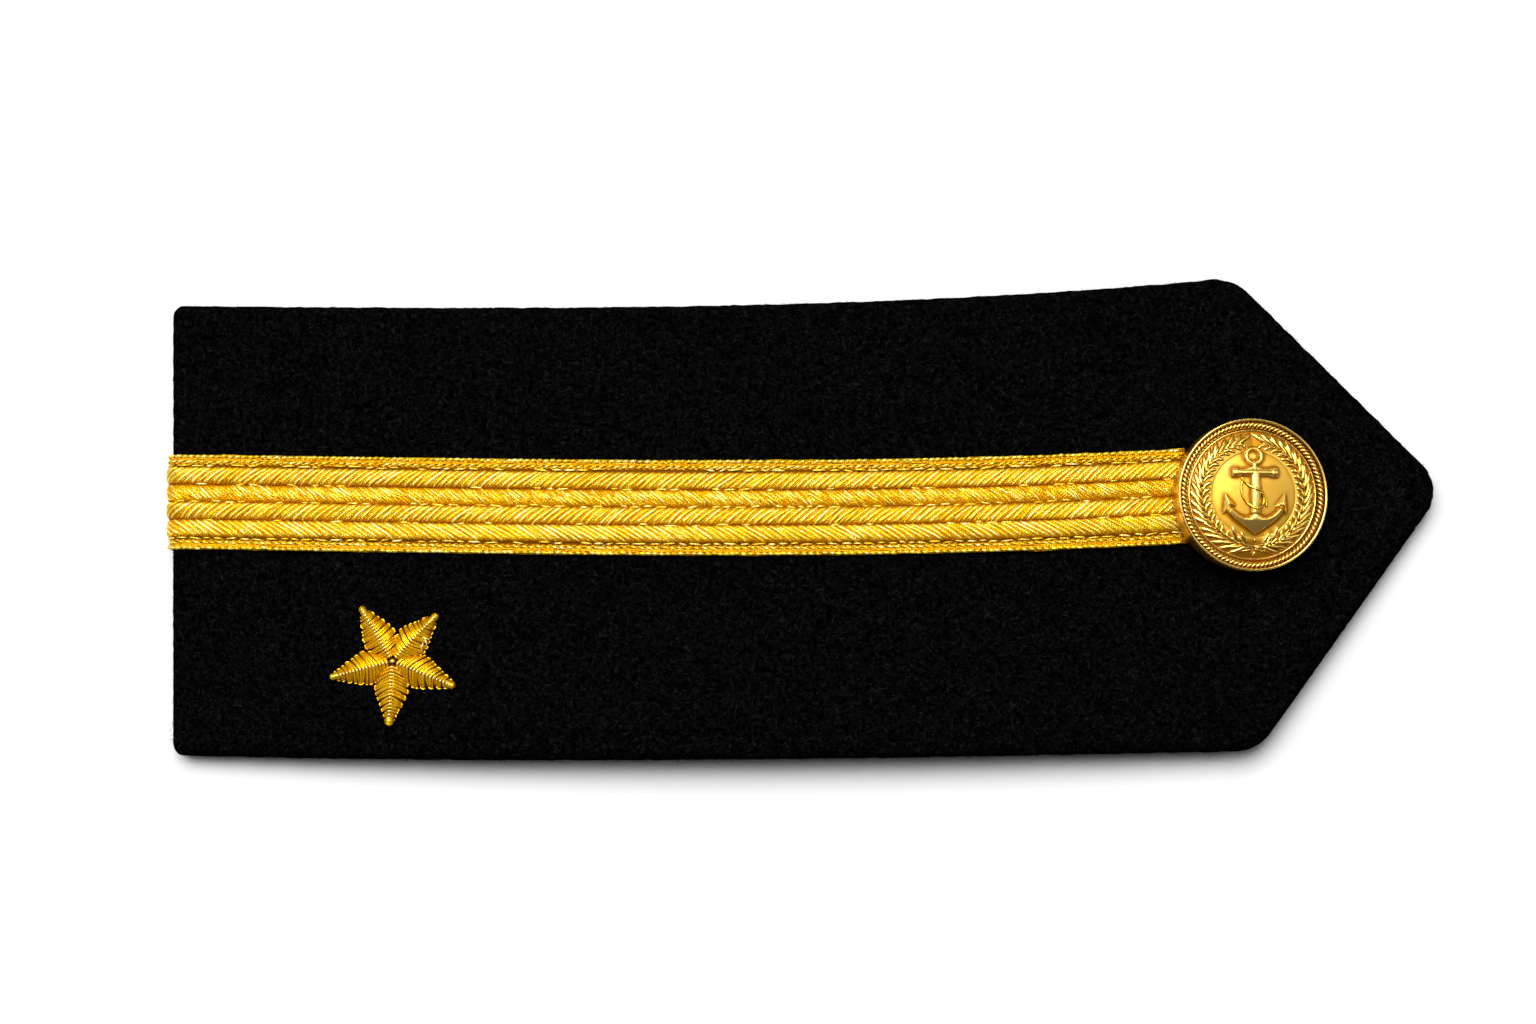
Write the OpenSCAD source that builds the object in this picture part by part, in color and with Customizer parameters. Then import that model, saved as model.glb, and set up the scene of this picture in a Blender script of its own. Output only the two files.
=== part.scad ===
// Shoulder board with a lengthwise lace stripe, an embroidered star and a gilt button.
// Millimetres. The board lies on its underside: +X runs to the pointed end, +Z is up.
// The origin is at the middle of the whole part's box, at its base.

/* [Board] */
// Length of the whole part, from the fold of the lace to the rounded point
part_len = 160.2; // [140:0.2:180]
// Thickness of the covered board
board_thick = 4; // [3.2:0.1:5]
// How much the middle stands above the ends
arch_rise = 2.5; // [1.5:0.1:4]
// Radius of the rolled upper edge
top_edge_r = 1.6; // [1:0.1:1.8]
// Radius of the lower edge
low_edge_r = 1.1; // [0.6:0.1:1.2]
// Radius of the two corners at the square end, seen from above
end_corner_r = 1.5; // [1:0.1:4]
// Radius of the two shoulders before the point
shoulder_r = 6; // [3:0.5:10]
// Radius of the point
point_r = 4.7; // [3:0.1:7]
// How far off square the square end is, in degrees
end_slant = 1.15; // [0:0.05:2]
// Angle between the length and the upper side of the point
upper_point_angle = 44.8; // [42:0.1:48]
// Angle between the length and the lower side of the point
lower_point_angle = 53.6; // [50:0.1:57]
// How far the point lies above the middle line
point_y = 4; // [2:0.1:6]

/* [Lace] */
// Width of the lace
lace_w = 12.1; // [11:0.1:13]
// Thickness of the lace between its ribs
lace_web = 0.45; // [0.35:0.05:0.6]
// Thickness of the lace at the crown of a rib
lace_crown = 0.85; // [0.7:0.05:1]
// Share of the width that one beaded selvage takes
selvage_share = 0.136; // [0.1:0.002:0.17]
// Where the lace ends beside the button, from the middle of the part
lace_end_x = 48.4; // [44:0.1:50]
// Length of lace turned under the square end
lace_tail = 8; // [5:0.5:12]

/* [Star] */
// Distance from the star's middle to the middle of the part, along the length
star_x = -50.85; // [-60:0.05:-30]
// Distance from the star's middle to the middle line
star_y = -18; // [-20:0.1:-16]
// Distance from the star's middle to each notch between its rays
star_notch_r = 3.6; // [3:0.1:4.5]
// Height of the padding at the star's middle
star_rise = 1.3; // [0.8:0.1:2]
// Height of the star's ridges at the tips
star_tip_rise = 0.8; // [0.5:0.1:1]
// Wires laid side by side along one ray
star_wires = 9; // [5:1:12]

/* [Button] */
// Diameter of the button over its rolled rim
button_d = 18.9; // [18:0.1:20]
// Height of the rolled rim above the button's base
rim_top = 3.9; // [3.6:0.1:4.2]
// How far the domed field rises at its middle
dome_rise = 1.2; // [0.9:0.1:1.5]
// Thickness of the sheet metal
sheet = 0.5; // [0.4:0.05:0.6]
// Height of the struck relief above the field
relief = 0.3; // [0.2:0.05:0.4]
// Distance from the button's middle to the middle of the part, along the length
button_x = 55.5; // [54:0.1:58]
// Distance from the button's middle to the middle line
button_y = 2.4; // [1:0.1:4]
// Tilt of the button against the board, from the lace under one side of it
button_lean = 3.2; // [2.6:0.1:3.6]
// Radius of the stud's free end
stud_r = 1.5; // [1.2:0.05:1.7]
// Radius of the stud inside the board
stud_body_r = 1.9; // [1.8:0.05:2.2]
// Radius of the well round the stud's end in the underside
well_r = 4; // [3:0.1:5]
// Depth of that well
well_depth = 1.5; // [1:0.1:1.8]

/* [Hidden] */
$fn = 48;
gap = 0.12;             // air left between pieces that lie on each other
past = 0.01;            // overlap that a cut or a fused piece needs
half_len = part_len / 2;

// The long edges and the lace bow a little, and the board widens towards its shoulders.
// Each row is a station: share of half the length, upper edge, lower edge, middle of the lace.
STATIONS = [
    [-1.000, 27.15, -29.70, 2.0],
    [-0.450, 26.55, -30.30, 1.2],
    [0.100, 27.25, -30.04, 1.1],
    [0.650, 30.20, -29.27, 2.8],
];
AT = 0;
UPPER = 1;
LOWER = 2;
LACE_MID = 3;

// A smooth cubic through the four stations of one column
function weight(x, i) =
    let (own = STATIONS[i][AT], rest = [for (j = [0:3]) if (j != i) STATIONS[j][AT]])
    (x - rest[0]) * (x - rest[1]) * (x - rest[2])
        / ((own - rest[0]) * (own - rest[1]) * (own - rest[2]));
function column_at(x, column) =
    [for (i = [0:3]) weight(x / half_len, i)] * [for (row = STATIONS) row[column]];
function slope_at(x, column) = atan(column_at(x + 0.5, column) - column_at(x - 0.5, column));

// The arch stands on the flat of the underside, just inside its lower edge
arch_half = half_len - lace_crown - gap - low_edge_r;
function arch(x) = arch_rise * max(0, 1 - pow(x / arch_half, 2));
function arch_tilt(x) = atan(arch(x - 0.5) - arch(x + 0.5));

function unit(a) = [cos(a), sin(a)];

// Points of a rounded corner at p between sides whose outward normals are at angles a and b
function corner(p, a, b, r, inset, steps, first = 0, last = 1) =
    let (round_r = max(r - inset, 0.15),
         middle = p - (inset + round_r) * (unit(a) + unit(b)) / (1 + unit(a) * unit(b)))
    [for (k = [first * steps : last * steps]) middle + round_r * unit(a + (b - a) * k / steps)];

// The unrounded point, placed so that its rounding ends at the part's length
upper_normal = 90 - upper_point_angle;
lower_normal = lower_point_angle - 90;
point_back = (unit(upper_normal) + unit(lower_normal)) / (1 + unit(upper_normal) * unit(lower_normal));
point_at = [half_len - point_r + point_r * point_back.x, point_y];

// The sides above and below the middle line are told apart by their column of the stations
function side_sign(column) = column == UPPER ? 1 : -1;
function side_normal(x, column) = side_sign(column) * 90 + slope_at(x, column);
function point_angle(column) = column == UPPER ? upper_point_angle : lower_point_angle;
// The long edge reaches the point's side at about this share of half the length
shoulder_share = 0.69;
function shoulder_x(column) =
    let (rise = column_at(shoulder_share * half_len, column) - point_y)
    point_at.x - side_sign(column) * rise / tan(point_angle(column));
function shoulder(column) =
    let (run = point_at.x - shoulder_x(column))
    [shoulder_x(column), point_y + side_sign(column) * run * tan(point_angle(column))];

// The square end runs inside the fold of the lace, whose outermost rib reaches the part's length
outer_rib = 1.5 * lace_w * (1 - 2 * selvage_share) / 4;
end_mid = [-half_len + lace_crown + gap + outer_rib * tan(end_slant), column_at(-half_len, LACE_MID)];
function end_x(y) = end_mid.x - (y - end_mid.y) * tan(end_slant);
function end_corner(column) =
    let (y = column_at(-half_len, column))
    [end_x(y), y];
function end_normal(column) = side_sign(column) * 180 + end_slant;

corner_steps = 5;
edge_steps = 26;
shoulder_steps = 8;
point_side_steps = 7;
tip_steps = 12;

// The long edge stops this far short of its rounded corners
from_end = 3.5;
from_shoulder = 4.5;

// One long side from the square end to the tip of the point, moved in by inset
function long_edge(column, inset) =
    let (from = end_corner(column).x + from_end, to = shoulder_x(column) - from_shoulder)
    [for (k = [0:edge_steps])
        let (x = from + (to - from) * k / edge_steps)
        [x, column_at(x, column)] - inset * unit(side_normal(x, column))];
function point_side(column, inset) =
    let (a = side_sign(column) * (90 - point_angle(column)),
         from = shoulder(column) + (point_at - shoulder(column)) * 0.13,
         to = shoulder(column) + (point_at - shoulder(column)) * 0.86)
    [for (k = [0:point_side_steps]) from + (to - from) * k / point_side_steps - inset * unit(a)];
function side(column, inset) =
    let (sign = side_sign(column),
         normal_x = shoulder_x(column) - from_shoulder,
         own = sign * (90 - point_angle(column)),
         other = column == UPPER ? lower_normal : upper_normal)
    concat(
        corner(end_corner(column), end_normal(column), side_normal(end_corner(column).x + from_end, column),
            end_corner_r, inset, corner_steps),
        long_edge(column, inset),
        corner(shoulder(column), side_normal(normal_x, column), own, shoulder_r, inset, shoulder_steps),
        point_side(column, inset),
        corner(point_at, own, other, point_r, inset, tip_steps, 0, 0.5)
    );

// The rolled edge, from the underside to the top: [inset, height]
edge_rows = concat(
    [for (a = [-90:22.5:-1]) [low_edge_r * (1 - cos(a)), low_edge_r * (1 + sin(a))]],
    [for (a = [0:18:90]) [top_edge_r * (1 - cos(a)), board_thick - top_edge_r * (1 - sin(a))]]
);

function reversed(list) = [for (i = [len(list) - 1 : -1 : 0]) list[i]];
function raised(list, height) = [for (p = list) [p.x, p.y, arch(p.x) + height]];

module covered_board() {
    chain_n = len(side(UPPER, 0));
    rows = len(edge_rows);
    points = [for (row = edge_rows)
        each raised(concat(side(UPPER, row[0]), reversed(side(LOWER, row[0]))), row[1])];
    n = 2 * chain_n;
    walls = [for (r = [0:rows - 2], k = [0:n - 1])
        let (a = r * n + k, b = r * n + (k + 1) % n)
        each [[a, b + n, a + n], [a, b, b + n]]];
    // A strip of the underside or top lies between one step of the upper side and of the lower one
    strips = [for (k = [0:chain_n - 2])
        let (up = k, up_next = k + 1, low = n - 1 - k, low_next = n - 2 - k)
        each [[up, low_next, up_next], [up, low, low_next]]];
    lift = (rows - 1) * n;
    top = [for (t = strips) [t[2] + lift, t[1] + lift, t[0] + lift]];
    polyhedron(points = points, faces = concat(walls, strips, top), convexity = 4);
}

// The stud's axis: a turn about Y, through the button's place on the board
button_tilt = button_lean + arch_tilt(button_x);
base_r = button_d / 2 - 0.1;
button_lift = base_r * sin(button_lean) + gap;
module at_button() {
    translate([button_x, button_y, board_thick + arch(button_x) + button_lift])
        rotate([0, button_tilt, 0])
            children();
}

recess_top = lace_crown + 2 * gap;
tail_x = end_mid.x + lace_tail;
stud_gap = 0.2;
underside = -board_thick - button_lift;     // the board's underside at the stud, along the stud's axis

module board() {
    color("#0b0d10")
        difference() {
            covered_board();
            // The lace's tail lies in a shallow recess, so that the end rests flat
            translate([-half_len - 5, end_mid.y - lace_w / 2 - 3 * gap, -1])
                cube([tail_x + 3 * gap + half_len + 5, lace_w + 6 * gap, 1 + recess_top]);
            // The stud's hole, and the well that leaves its end free
            at_button() {
                translate([0, 0, underside - 5])
                    cylinder(r = stud_body_r + stud_gap, h = 15);
                translate([0, 0, underside - 5])
                    cylinder(r = well_r, h = 5 + well_depth);
            }
        }
}

// The lace's section: [place across, height], four rounded ribs between two double rows of beads
rib_w = lace_w * (1 - 2 * selvage_share) / 4;
bead_w = lace_w * selvage_share / 2;
function ridge(from, width, crown) =
    [for (t = [-1, -0.7, -0.25, 0.25, 0.7])
        [from + width * (1 + t) / 2, lace_web + (crown - lace_web) * sqrt(1 - t * t)]];
bead_crown = lace_web + (lace_crown - lace_web) * 0.6;
lace_section = concat(
    [[-lace_w / 2, 0]],
    [for (k = [0:1]) each ridge(-lace_w / 2 + k * bead_w, bead_w, bead_crown)],
    [for (k = [0:3]) each ridge(-2 * rib_w + k * rib_w, rib_w, lace_crown)],
    [for (k = [0:1]) each ridge(2 * rib_w + k * bead_w, bead_w, bead_crown)],
    [[lace_w / 2, lace_web], [lace_w / 2, 0]]
);

// The lace's way: [x, height, angle of its outward normal], over the top, round the end and under
bend_r = top_edge_r + gap;
fold_r = 0.4;
lace_steps = 26;
lace_way = concat(
    [for (k = [0:lace_steps])
        let (x = lace_end_x + (end_mid.x + top_edge_r - lace_end_x) * k / lace_steps)
        [x, board_thick + arch(x) + gap, 90 - arch_tilt(x)]],
    [for (a = [105:15:180])
        [end_mid.x + top_edge_r + bend_r * cos(a), board_thick - top_edge_r + bend_r * sin(a), a]],
    [for (a = [180:30:270])
        [end_mid.x - gap + fold_r * (1 + cos(a)), recess_top - gap + fold_r * (1 + sin(a)), a]],
    [[tail_x, recess_top - gap, 270]]
);

module lace_stripe() {
    n = len(lace_section);
    rings = len(lace_way);
    points = [for (w = lace_way, s = lace_section)
        [w[0] - s[0] * tan(end_slant) + s[1] * cos(w[2]),
         column_at(max(w[0], end_mid.x), LACE_MID) + s[0],
         w[1] + s[1] * sin(w[2])]];
    walls = [for (r = [0:rings - 2], k = [0:n - 1])
        let (a = r * n + k, b = r * n + (k + 1) % n)
        each [[a, b + n, b], [a, a + n, b + n]]];
    start = [[for (k = [0:n - 1]) k]];
    finish = [[for (k = [n - 1:-1:0]) (rings - 1) * n + k]];
    color("#e8b023")
        polyhedron(points = points, faces = concat(walls, start, finish), convexity = 6);
}

// The star's rays: [angle, length], a little uneven because it is worked by hand
STAR_RAYS = [
    [46.5, 8.05],
    [121.0, 8.00],
    [194.6, 8.10],
    [267.5, 8.15],
    [336.9, 8.15],
];
star_edge = 0.3;        // height of the wires at the star's outline
star_cap = 0.5;         // half the width of the coiled cap on each tip
star_lobe = 0.1;        // how far each wire's bend stands out of the outline
star_groove = 0.1;      // depth between two wires
star_sweep = 0.7;       // how far the wires lean to the tip, against their run to the side
wire_steps = 2 * star_wires;
ridge_from = star_notch_r * (cos(36) - star_sweep * sin(36));   // where a ray's first wire crosses its ridge

function mix(a, b, t) = a + (b - a) * t;
// The notch after a ray, counted anticlockwise, which two rays share
function notch_after(ray) =
    let (a = STAR_RAYS[ray][0], b = STAR_RAYS[(ray + 1) % 5][0])
    star_notch_r * unit((a + b + (b < a ? 360 : 0)) / 2);
// The wire k on one side (turn 1 or -1) of a ray, as its points at the base, edge, middle and ridge
function wire(ray, turn, k) =
    let (ahead = unit(STAR_RAYS[ray][0]),
         out = turn * unit(STAR_RAYS[ray][0] + 90),
         cap_x = STAR_RAYS[ray][1] - star_cap,
         notch = notch_after(turn == 1 ? ray : (ray + 4) % 5),
         t = k / wire_steps,
         bend = k % 2 == 1 ? star_lobe : 0,
         groove = k % 2 == 1 ? 0 : star_groove,
         edge = mix(notch, cap_x * ahead + star_cap * out, t) + bend * out,
         top = mix(ridge_from, cap_x, t) * ahead,
         mid = mix(top, edge, 0.6),
         rise = mix(star_rise, star_tip_rise, t) - groove)
    [[edge.x, edge.y, 0],
     [edge.x, edge.y, star_edge - groove / 2],
     [mid.x, mid.y, mix(star_edge, rise, 0.62)],
     [top.x, top.y, rise]];

module star() {
    side_n = 4 * (wire_steps + 1);
    ray_n = 2 * side_n + 2;
    sides = [for (ray = [0:4]) each concat(
        [for (turn = [-1, 1], k = [0:wire_steps]) each wire(ray, turn, k)],
        [for (z = [0, star_edge]) let (p = STAR_RAYS[ray][1] * unit(STAR_RAYS[ray][0])) [p.x, p.y, z]]
    )];
    points = concat(sides, [[0, 0, 0], [0, 0, star_rise]]);
    base_mid = 5 * ray_n;
    top_mid = base_mid + 1;
    function turned(faces, turn) = turn == 1 ? faces : [for (f = faces) reversed(f)];
    faces = [for (ray = [0:4], turn = [0, 1])
        let (start = ray * ray_n + turn * side_n,
             last = start + 4 * wire_steps,
             tip = ray * ray_n + 2 * side_n,
             steps = [for (k = [0:wire_steps - 1], c = [0:2])
                 let (a = start + 4 * k + c, b = a + 4)
                 each [[a, b, b + 1], [a, b + 1, a + 1]]],
             floor = [for (k = [0:wire_steps - 1]) [base_mid, start + 4 * k + 4, start + 4 * k]],
             cap = [[last, tip, tip + 1], [last, tip + 1, last + 1], [last + 1, tip + 1, last + 2],
                 [last + 2, tip + 1, last + 3], [base_mid, tip, last]],
             middle = [[start + 1, start + 2, top_mid], [start + 2, start + 3, top_mid]])
        each turned(concat(steps, floor, cap, middle), turn)];
    color("#e3a91f")
        translate([star_x, star_y, board_thick + arch(star_x) + gap])
            rotate([0, arch_tilt(star_x), 0])
                polyhedron(points = points, faces = faces, convexity = 8);
}

// Rings of the button's face, as radii, from the rim inwards
rim_r = 0.24;           // radius of the thin roll itself
rope_r = 8.4;
line_r = 7.75;
line_bead_r = 0.18;
field_r = 7.6;
field_z = rim_top - 0.6;
dome_r = (field_r * field_r + dome_rise * dome_rise) / (2 * dome_rise);
function field_height(r) = field_z + dome_rise - dome_r + sqrt(dome_r * dome_r - r * r);

module shell_body() {
    outer = button_d / 2;
    rotate_extrude() {
        translate([outer - rim_r, rim_top - rim_r])
            circle(r = rim_r);
        // Skirt, turned-in lip and the floor that carries the rope border
        polygon([
            [base_r - 1, 0], [base_r - 0.4, 0], [base_r - 0.1, 0.25], [outer - 0.05, 1.2],
            [outer - 0.05, rim_top - rim_r], [outer - 2 * rim_r, rim_top - rim_r],
            [outer - 2 * rim_r - 0.1, field_z], [field_r - past, field_z], [field_r - past, field_z - sheet],
            [outer - 0.05 - sheet, field_z - sheet], [outer - 0.05 - sheet, 1.3], [base_r - 0.5, 0.4],
            [base_r - 1, 0.4]
        ]);
        translate([line_r, field_z])
            circle(r = line_bead_r);
    }
    // Domed field
    intersection() {
        translate([0, 0, field_z - sheet - 1])
            cylinder(r = field_r, h = dome_rise + sheet + 2);
        difference() {
            translate([0, 0, field_z + dome_rise - dome_r])
                sphere(r = dome_r, $fn = 96);
            translate([0, 0, field_z + dome_rise - dome_r])
                sphere(r = dome_r - sheet, $fn = 96);
        }
    }
}

// Something flat on the field at radius r, sunk into the sheet so that it is fused with it
module on_field(r, a, height = relief) {
    rotate([0, 0, a])
        translate([r, 0, field_height(r) - sheet * 0.7])
            linear_extrude(sheet * 0.7 + height)
                children();
}

// Slanted strands round the rim that read as a laid rope
rope_strands = 92;
strand_r = 0.2;
strand_len = 0.9;
strand_slant = 50;      // from the radius
module rope_border() {
    for (k = [0:rope_strands - 1])
        rotate([0, 0, k * 360 / rope_strands])
            translate([rope_r, 0, field_z + strand_r / 3])
                rotate([0, 90, -strand_slant])
                    cylinder(r = strand_r, h = strand_len, center = true, $fn = 6);
}

// A laurel leaf: two arcs that meet in points at both ends
leaf_len = 2.1;
leaf_w = 0.56;
module leaf() {
    arc_r = (leaf_len * leaf_len + leaf_w * leaf_w) / (4 * leaf_w);
    intersection() {
        translate([0, leaf_w / 2 - arc_r])
            circle(r = arc_r);
        translate([0, arc_r - leaf_w / 2])
            circle(r = arc_r);
    }
}

// Two branches of laurel, tied at the bottom and open at the top
branch_r = 6.5;
leaf_pairs = 12;
leaf_first = 19;        // place of the first pair, in degrees from the tie
leaf_pitch = 12.6;
leaf_reach = 0.56;      // from the stem to the middle of a leaf
leaf_lean = 24;         // of a leaf from the run of the stem
stem_w = 0.18;
stem_turn = 170;
tie_turn = 6;           // place and lean of the two loose leaves at the tie
tie_lean = 62;
module wreath() {
    for (turn = [-1, 1], k = [0:leaf_pairs - 1], out = [-1, 1])
        on_field(branch_r + out * leaf_reach, -90 + turn * (leaf_first + k * leaf_pitch))
            rotate(turn * (90 - out * leaf_lean))
                leaf();
    for (start = [-86, -94 - stem_turn])
        rotate([0, 0, start])
            translate([0, 0, field_height(branch_r) - sheet * 0.5])
                rotate_extrude(angle = stem_turn)
                    translate([branch_r - stem_w / 2, 0])
                        square([stem_w, sheet * 0.5 + relief * 0.7]);
    // The tie: a small ball above it, a larger one below, and two loose leaves.
    // Each ball is its distance from the button's middle, and its own radius.
    for (ball = [[5.62, 0.2], [7.2, 0.36]])
        rotate([0, 0, -90])
            translate([ball[0], 0, field_height(ball[0])])
                sphere(r = ball[1], $fn = 24);
    for (turn = [-1, 1])
        on_field(branch_r, -90 + turn * tie_turn)
            rotate(turn * tie_lean)
                leaf();
}

// The anchor, with its ring, stock, shank and two curved arms. Its middle line is a little off the button's
anchor_x = 0.05;
ring_y = 4.74;
ring_outer_r = 1.24;
ring_hole_r = 0.66;
stock_y = 2.69;
stock_half = 2.97;
stock_w = 0.96;
block_len = 0.95;       // of the thicker block at each end of the stock
block_w = 1.28;
shank_w = 1.28;
shank_end_y = -2.8;
proud = 0.12;           // how far the shank and the flukes stand above the rest
// One arm, as points out from the middle line: the round hollow above it, then the keel below
HOLLOW = [[0, -1.9], [0.35, -2.35], [0.85, -2.72], [1.45, -2.8], [2.1, -2.55], [2.65, -2.1], [3.05, -1.6]];
KEEL = [[3.55, -2.2], [2.6, -3.2], [1.3, -4.1], [0, -4.97]];
// The barbed head on the arm: point, inner barb, neck and outer barb
FLUKE = [[3.85, 0.2], [2.45, -1.5], [2.95, -1.55], [3.35, -2.05], [4.05, -2.45]];

module both_sides() {
    children();
    mirror([1, 0])
        children();
}
module anchor() {
    base = field_height(stock_half * 1.5) - sheet * 0.6;
    rise = field_height(0) + relief - base;
    translate([anchor_x, 0, base]) {
        linear_extrude(rise) {
            translate([0, ring_y])
                difference() {
                    circle(r = ring_outer_r);
                    circle(r = ring_hole_r);
                }
            translate([-stock_half, stock_y - stock_w / 2])
                square([2 * stock_half, stock_w]);
            both_sides() {
                translate([stock_half - block_len, stock_y - block_w / 2])
                    square([block_len, block_w]);
                polygon(concat([[-past, HOLLOW[0].y]], HOLLOW, KEEL, [[-past, KEEL[3].y]]));
            }
        }
        linear_extrude(rise + proud) {
            translate([-shank_w / 2, shank_end_y])
                square([shank_w, ring_y - ring_outer_r + past - shank_end_y]);
            both_sides()
                polygon(FLUKE);
        }
    }
}

// The cable that fouls the anchor, as arcs: [middle x, middle y, radius, start angle, sweep]
CABLE = [
    [1.42, 3.94, 3.63, 212, 45],
    [-0.52, -1.20, 1.94, -9, 67],
    [0.88, 0.71, 2.63, 160, 93],
    [-0.01, -0.69, 1.11, -90, 86],
];
cable_w = 0.36;
module cable() {
    base = field_height(stock_half) - past;
    rise = field_height(0) - base + relief + 2 * proud;
    for (arc = CABLE)
        translate([arc[0], arc[1], base])
            rotate([0, 0, arc[3]])
                rotate_extrude(angle = arc[4])
                    translate([arc[2] - cable_w / 2, 0])
                        square([cable_w, rise]);
}

module button_shell() {
    color("#dca62a")
        at_button() {
            shell_body();
            rope_border();
            wreath();
            anchor();
            cable();
        }
}

back_r = base_r - 0.65;
back_z = 0.4 + gap;
module button_back() {
    color("#c9962a")
        at_button()
            translate([0, 0, back_z])
                difference() {
                    cylinder(r1 = back_r, r2 = back_r + 0.1, h = sheet);
                    translate([0, 0, -1])
                        cylinder(r = stud_body_r + gap, h = sheet + 2);
                }
}

stud_head_r = 3;
stud_head = 0.6;
stud_end = underside - (arch(button_x) - 0.45);
stud_step = underside + well_depth;
head_z = back_z + sheet + gap;
module button_stud() {
    color("#b8862c")
        at_button() {
            translate([0, 0, stud_end])
                cylinder(r = stud_r, h = stud_step + past - stud_end);
            translate([0, 0, stud_step])
                cylinder(r = stud_body_r, h = head_z + past - stud_step);
            translate([0, 0, head_z])
                cylinder(r = stud_head_r, h = stud_head);
        }
}

board();
lace_stripe();
star();
button_shell();
button_back();
button_stud();
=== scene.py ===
"""Shoulder board: black wool over a stiff board, gold lace, a bullion wire star and a gilt button.

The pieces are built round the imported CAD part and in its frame: X runs to the pointed end, Z is up, and the
origin is at the middle of the base. Shapes are worked out in millimetres and stored in metres.
"""

import functools
import math
from collections import namedtuple

import bmesh
import bpy
import numpy as np
from bpy.props import FloatProperty, FloatVectorProperty, IntProperty, PointerProperty
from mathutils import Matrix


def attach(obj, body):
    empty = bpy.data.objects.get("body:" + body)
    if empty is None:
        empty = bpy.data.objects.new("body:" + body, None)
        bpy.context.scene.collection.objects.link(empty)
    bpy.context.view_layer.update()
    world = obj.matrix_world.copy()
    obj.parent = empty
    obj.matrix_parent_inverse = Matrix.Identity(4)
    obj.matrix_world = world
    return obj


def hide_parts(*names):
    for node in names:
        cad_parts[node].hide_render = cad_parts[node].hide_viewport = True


bl_info = {
    "name": "Shoulder Board",
    "version": (1, 0, 0),
    "blender": (4, 5, 0),
    "location": "3D View > Sidebar > Shoulder Board",
    "description": "Dresses a shoulder board in wool, gold lace, a bullion wire star and a gilt button",
    "category": "Add Mesh",
}

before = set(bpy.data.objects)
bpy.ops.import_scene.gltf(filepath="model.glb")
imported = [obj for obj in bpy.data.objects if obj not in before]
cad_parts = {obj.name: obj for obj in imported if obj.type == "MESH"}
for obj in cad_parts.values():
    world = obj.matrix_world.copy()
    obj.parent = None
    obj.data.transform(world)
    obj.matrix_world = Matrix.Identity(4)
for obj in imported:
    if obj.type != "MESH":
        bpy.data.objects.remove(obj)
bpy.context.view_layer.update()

MM = 0.001
UP = (0.0, 0.0, 1.0)
# How far the point at each end of a strand stands out, in radii
END_POINT = 0.7

# Sizes that the CAD part also has, in millimetres
HALF_LEN = 80.1
BOARD_THICK = 4.0
ARCH_RISE = 2.5
TOP_EDGE_R = 1.6
LOW_EDGE_R = 1.1
END_CORNER_R = 1.5
SHOULDER_R = 6.0
POINT_R = 4.7
POINT_Y = 4.0
END_SLANT = 1.15
POINT_ANGLES = {"upper": 44.8, "lower": 53.6}
SHOULDER_SHARE = 0.69
GAP = 0.12
LACE_W = 12.1
LACE_WEB = 0.45
LACE_CROWN = 0.85
SELVAGE_SHARE = 0.136
LACE_END_X = 48.4
LACE_TAIL = 8.0
STAR_AT = (-50.85, -18.0)
STAR_REACH = 8.8
BUTTON_AT = (55.5, 2.4)
BUTTON_R = 9.45
BUTTON_BASE_R = BUTTON_R - 0.1
BUTTON_LEAN = 3.2
RIM_TOP = 3.9
DOME_RISE = 1.2
SHEET = 0.5
STUD_HOLE_R = 2.1
WELL_R = 4.0
WELL_DEPTH = 1.5

# Four stations of the bowed long edges and of the lace: share of half the length, then across in millimetres
STATION_SHARES = [-1.0, -0.45, 0.1, 0.65]
STATIONS = {
    "upper": [27.15, 26.55, 27.25, 30.20],
    "lower": [-29.70, -30.30, -30.04, -29.27],
    "lace": [2.0, 1.2, 1.1, 2.8],
}
# Each is the cubic through its four stations
BOWS = {k: np.polyfit(np.array(STATION_SHARES) * HALF_LEN, v, 3) for k, v in STATIONS.items()}
ARCH_HALF = HALF_LEN - LACE_CROWN - GAP - LOW_EDGE_R
RIB_W = LACE_W * (1 - 2 * SELVAGE_SHARE) / 4
SHEAR = math.tan(math.radians(END_SLANT))
END_X = -HALF_LEN + LACE_CROWN + GAP + 1.5 * RIB_W * SHEAR
END_Y = float(np.polyval(BOWS["lace"], -HALF_LEN))
RECESS_TOP = LACE_CROWN + 2 * GAP
BUTTON_LIFT = BUTTON_BASE_R * math.sin(math.radians(BUTTON_LEAN)) + GAP


def hex_colour(code):
    """sRGB hex, such as "#E0A020", as linear RGBA."""
    srgb = [int(code[i:i + 2], 16) / 255 for i in (1, 3, 5)]
    return tuple(c / 12.92 if c <= 0.04045 else ((c + 0.055) / 1.055) ** 2.4 for c in srgb) + (1.0,)


def bow(x, edge):
    """Across position of a bowed edge, "upper", "lower" or "lace", at length x."""
    return np.polyval(BOWS[edge], x)


def arch(x):
    """Height by which the board stands off a straight underside at length x."""
    return ARCH_RISE * np.maximum(0, 1 - (np.asarray(x, float) / ARCH_HALF) ** 2)


def arch_lean(x):
    """Angle by which the arch leans towards the pointed end at length x, in radians."""
    return math.atan(float(arch(x - 0.5) - arch(x + 0.5)))


def cloth_height(x):
    """Height of the flat of the cloth at length x."""
    return BOARD_THICK + arch(x)


def unit(degrees):
    """Directions in the plane, as points at distance 1."""
    a = np.radians(degrees)
    return np.stack([np.cos(a), np.sin(a)], -1)


def arc(x, y, r, start, stop, steps):
    """Points on an arc round (x, y) between two angles in degrees."""
    return np.array([x, y]) + r * unit(np.linspace(start, stop, steps))


# Mesh building

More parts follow.
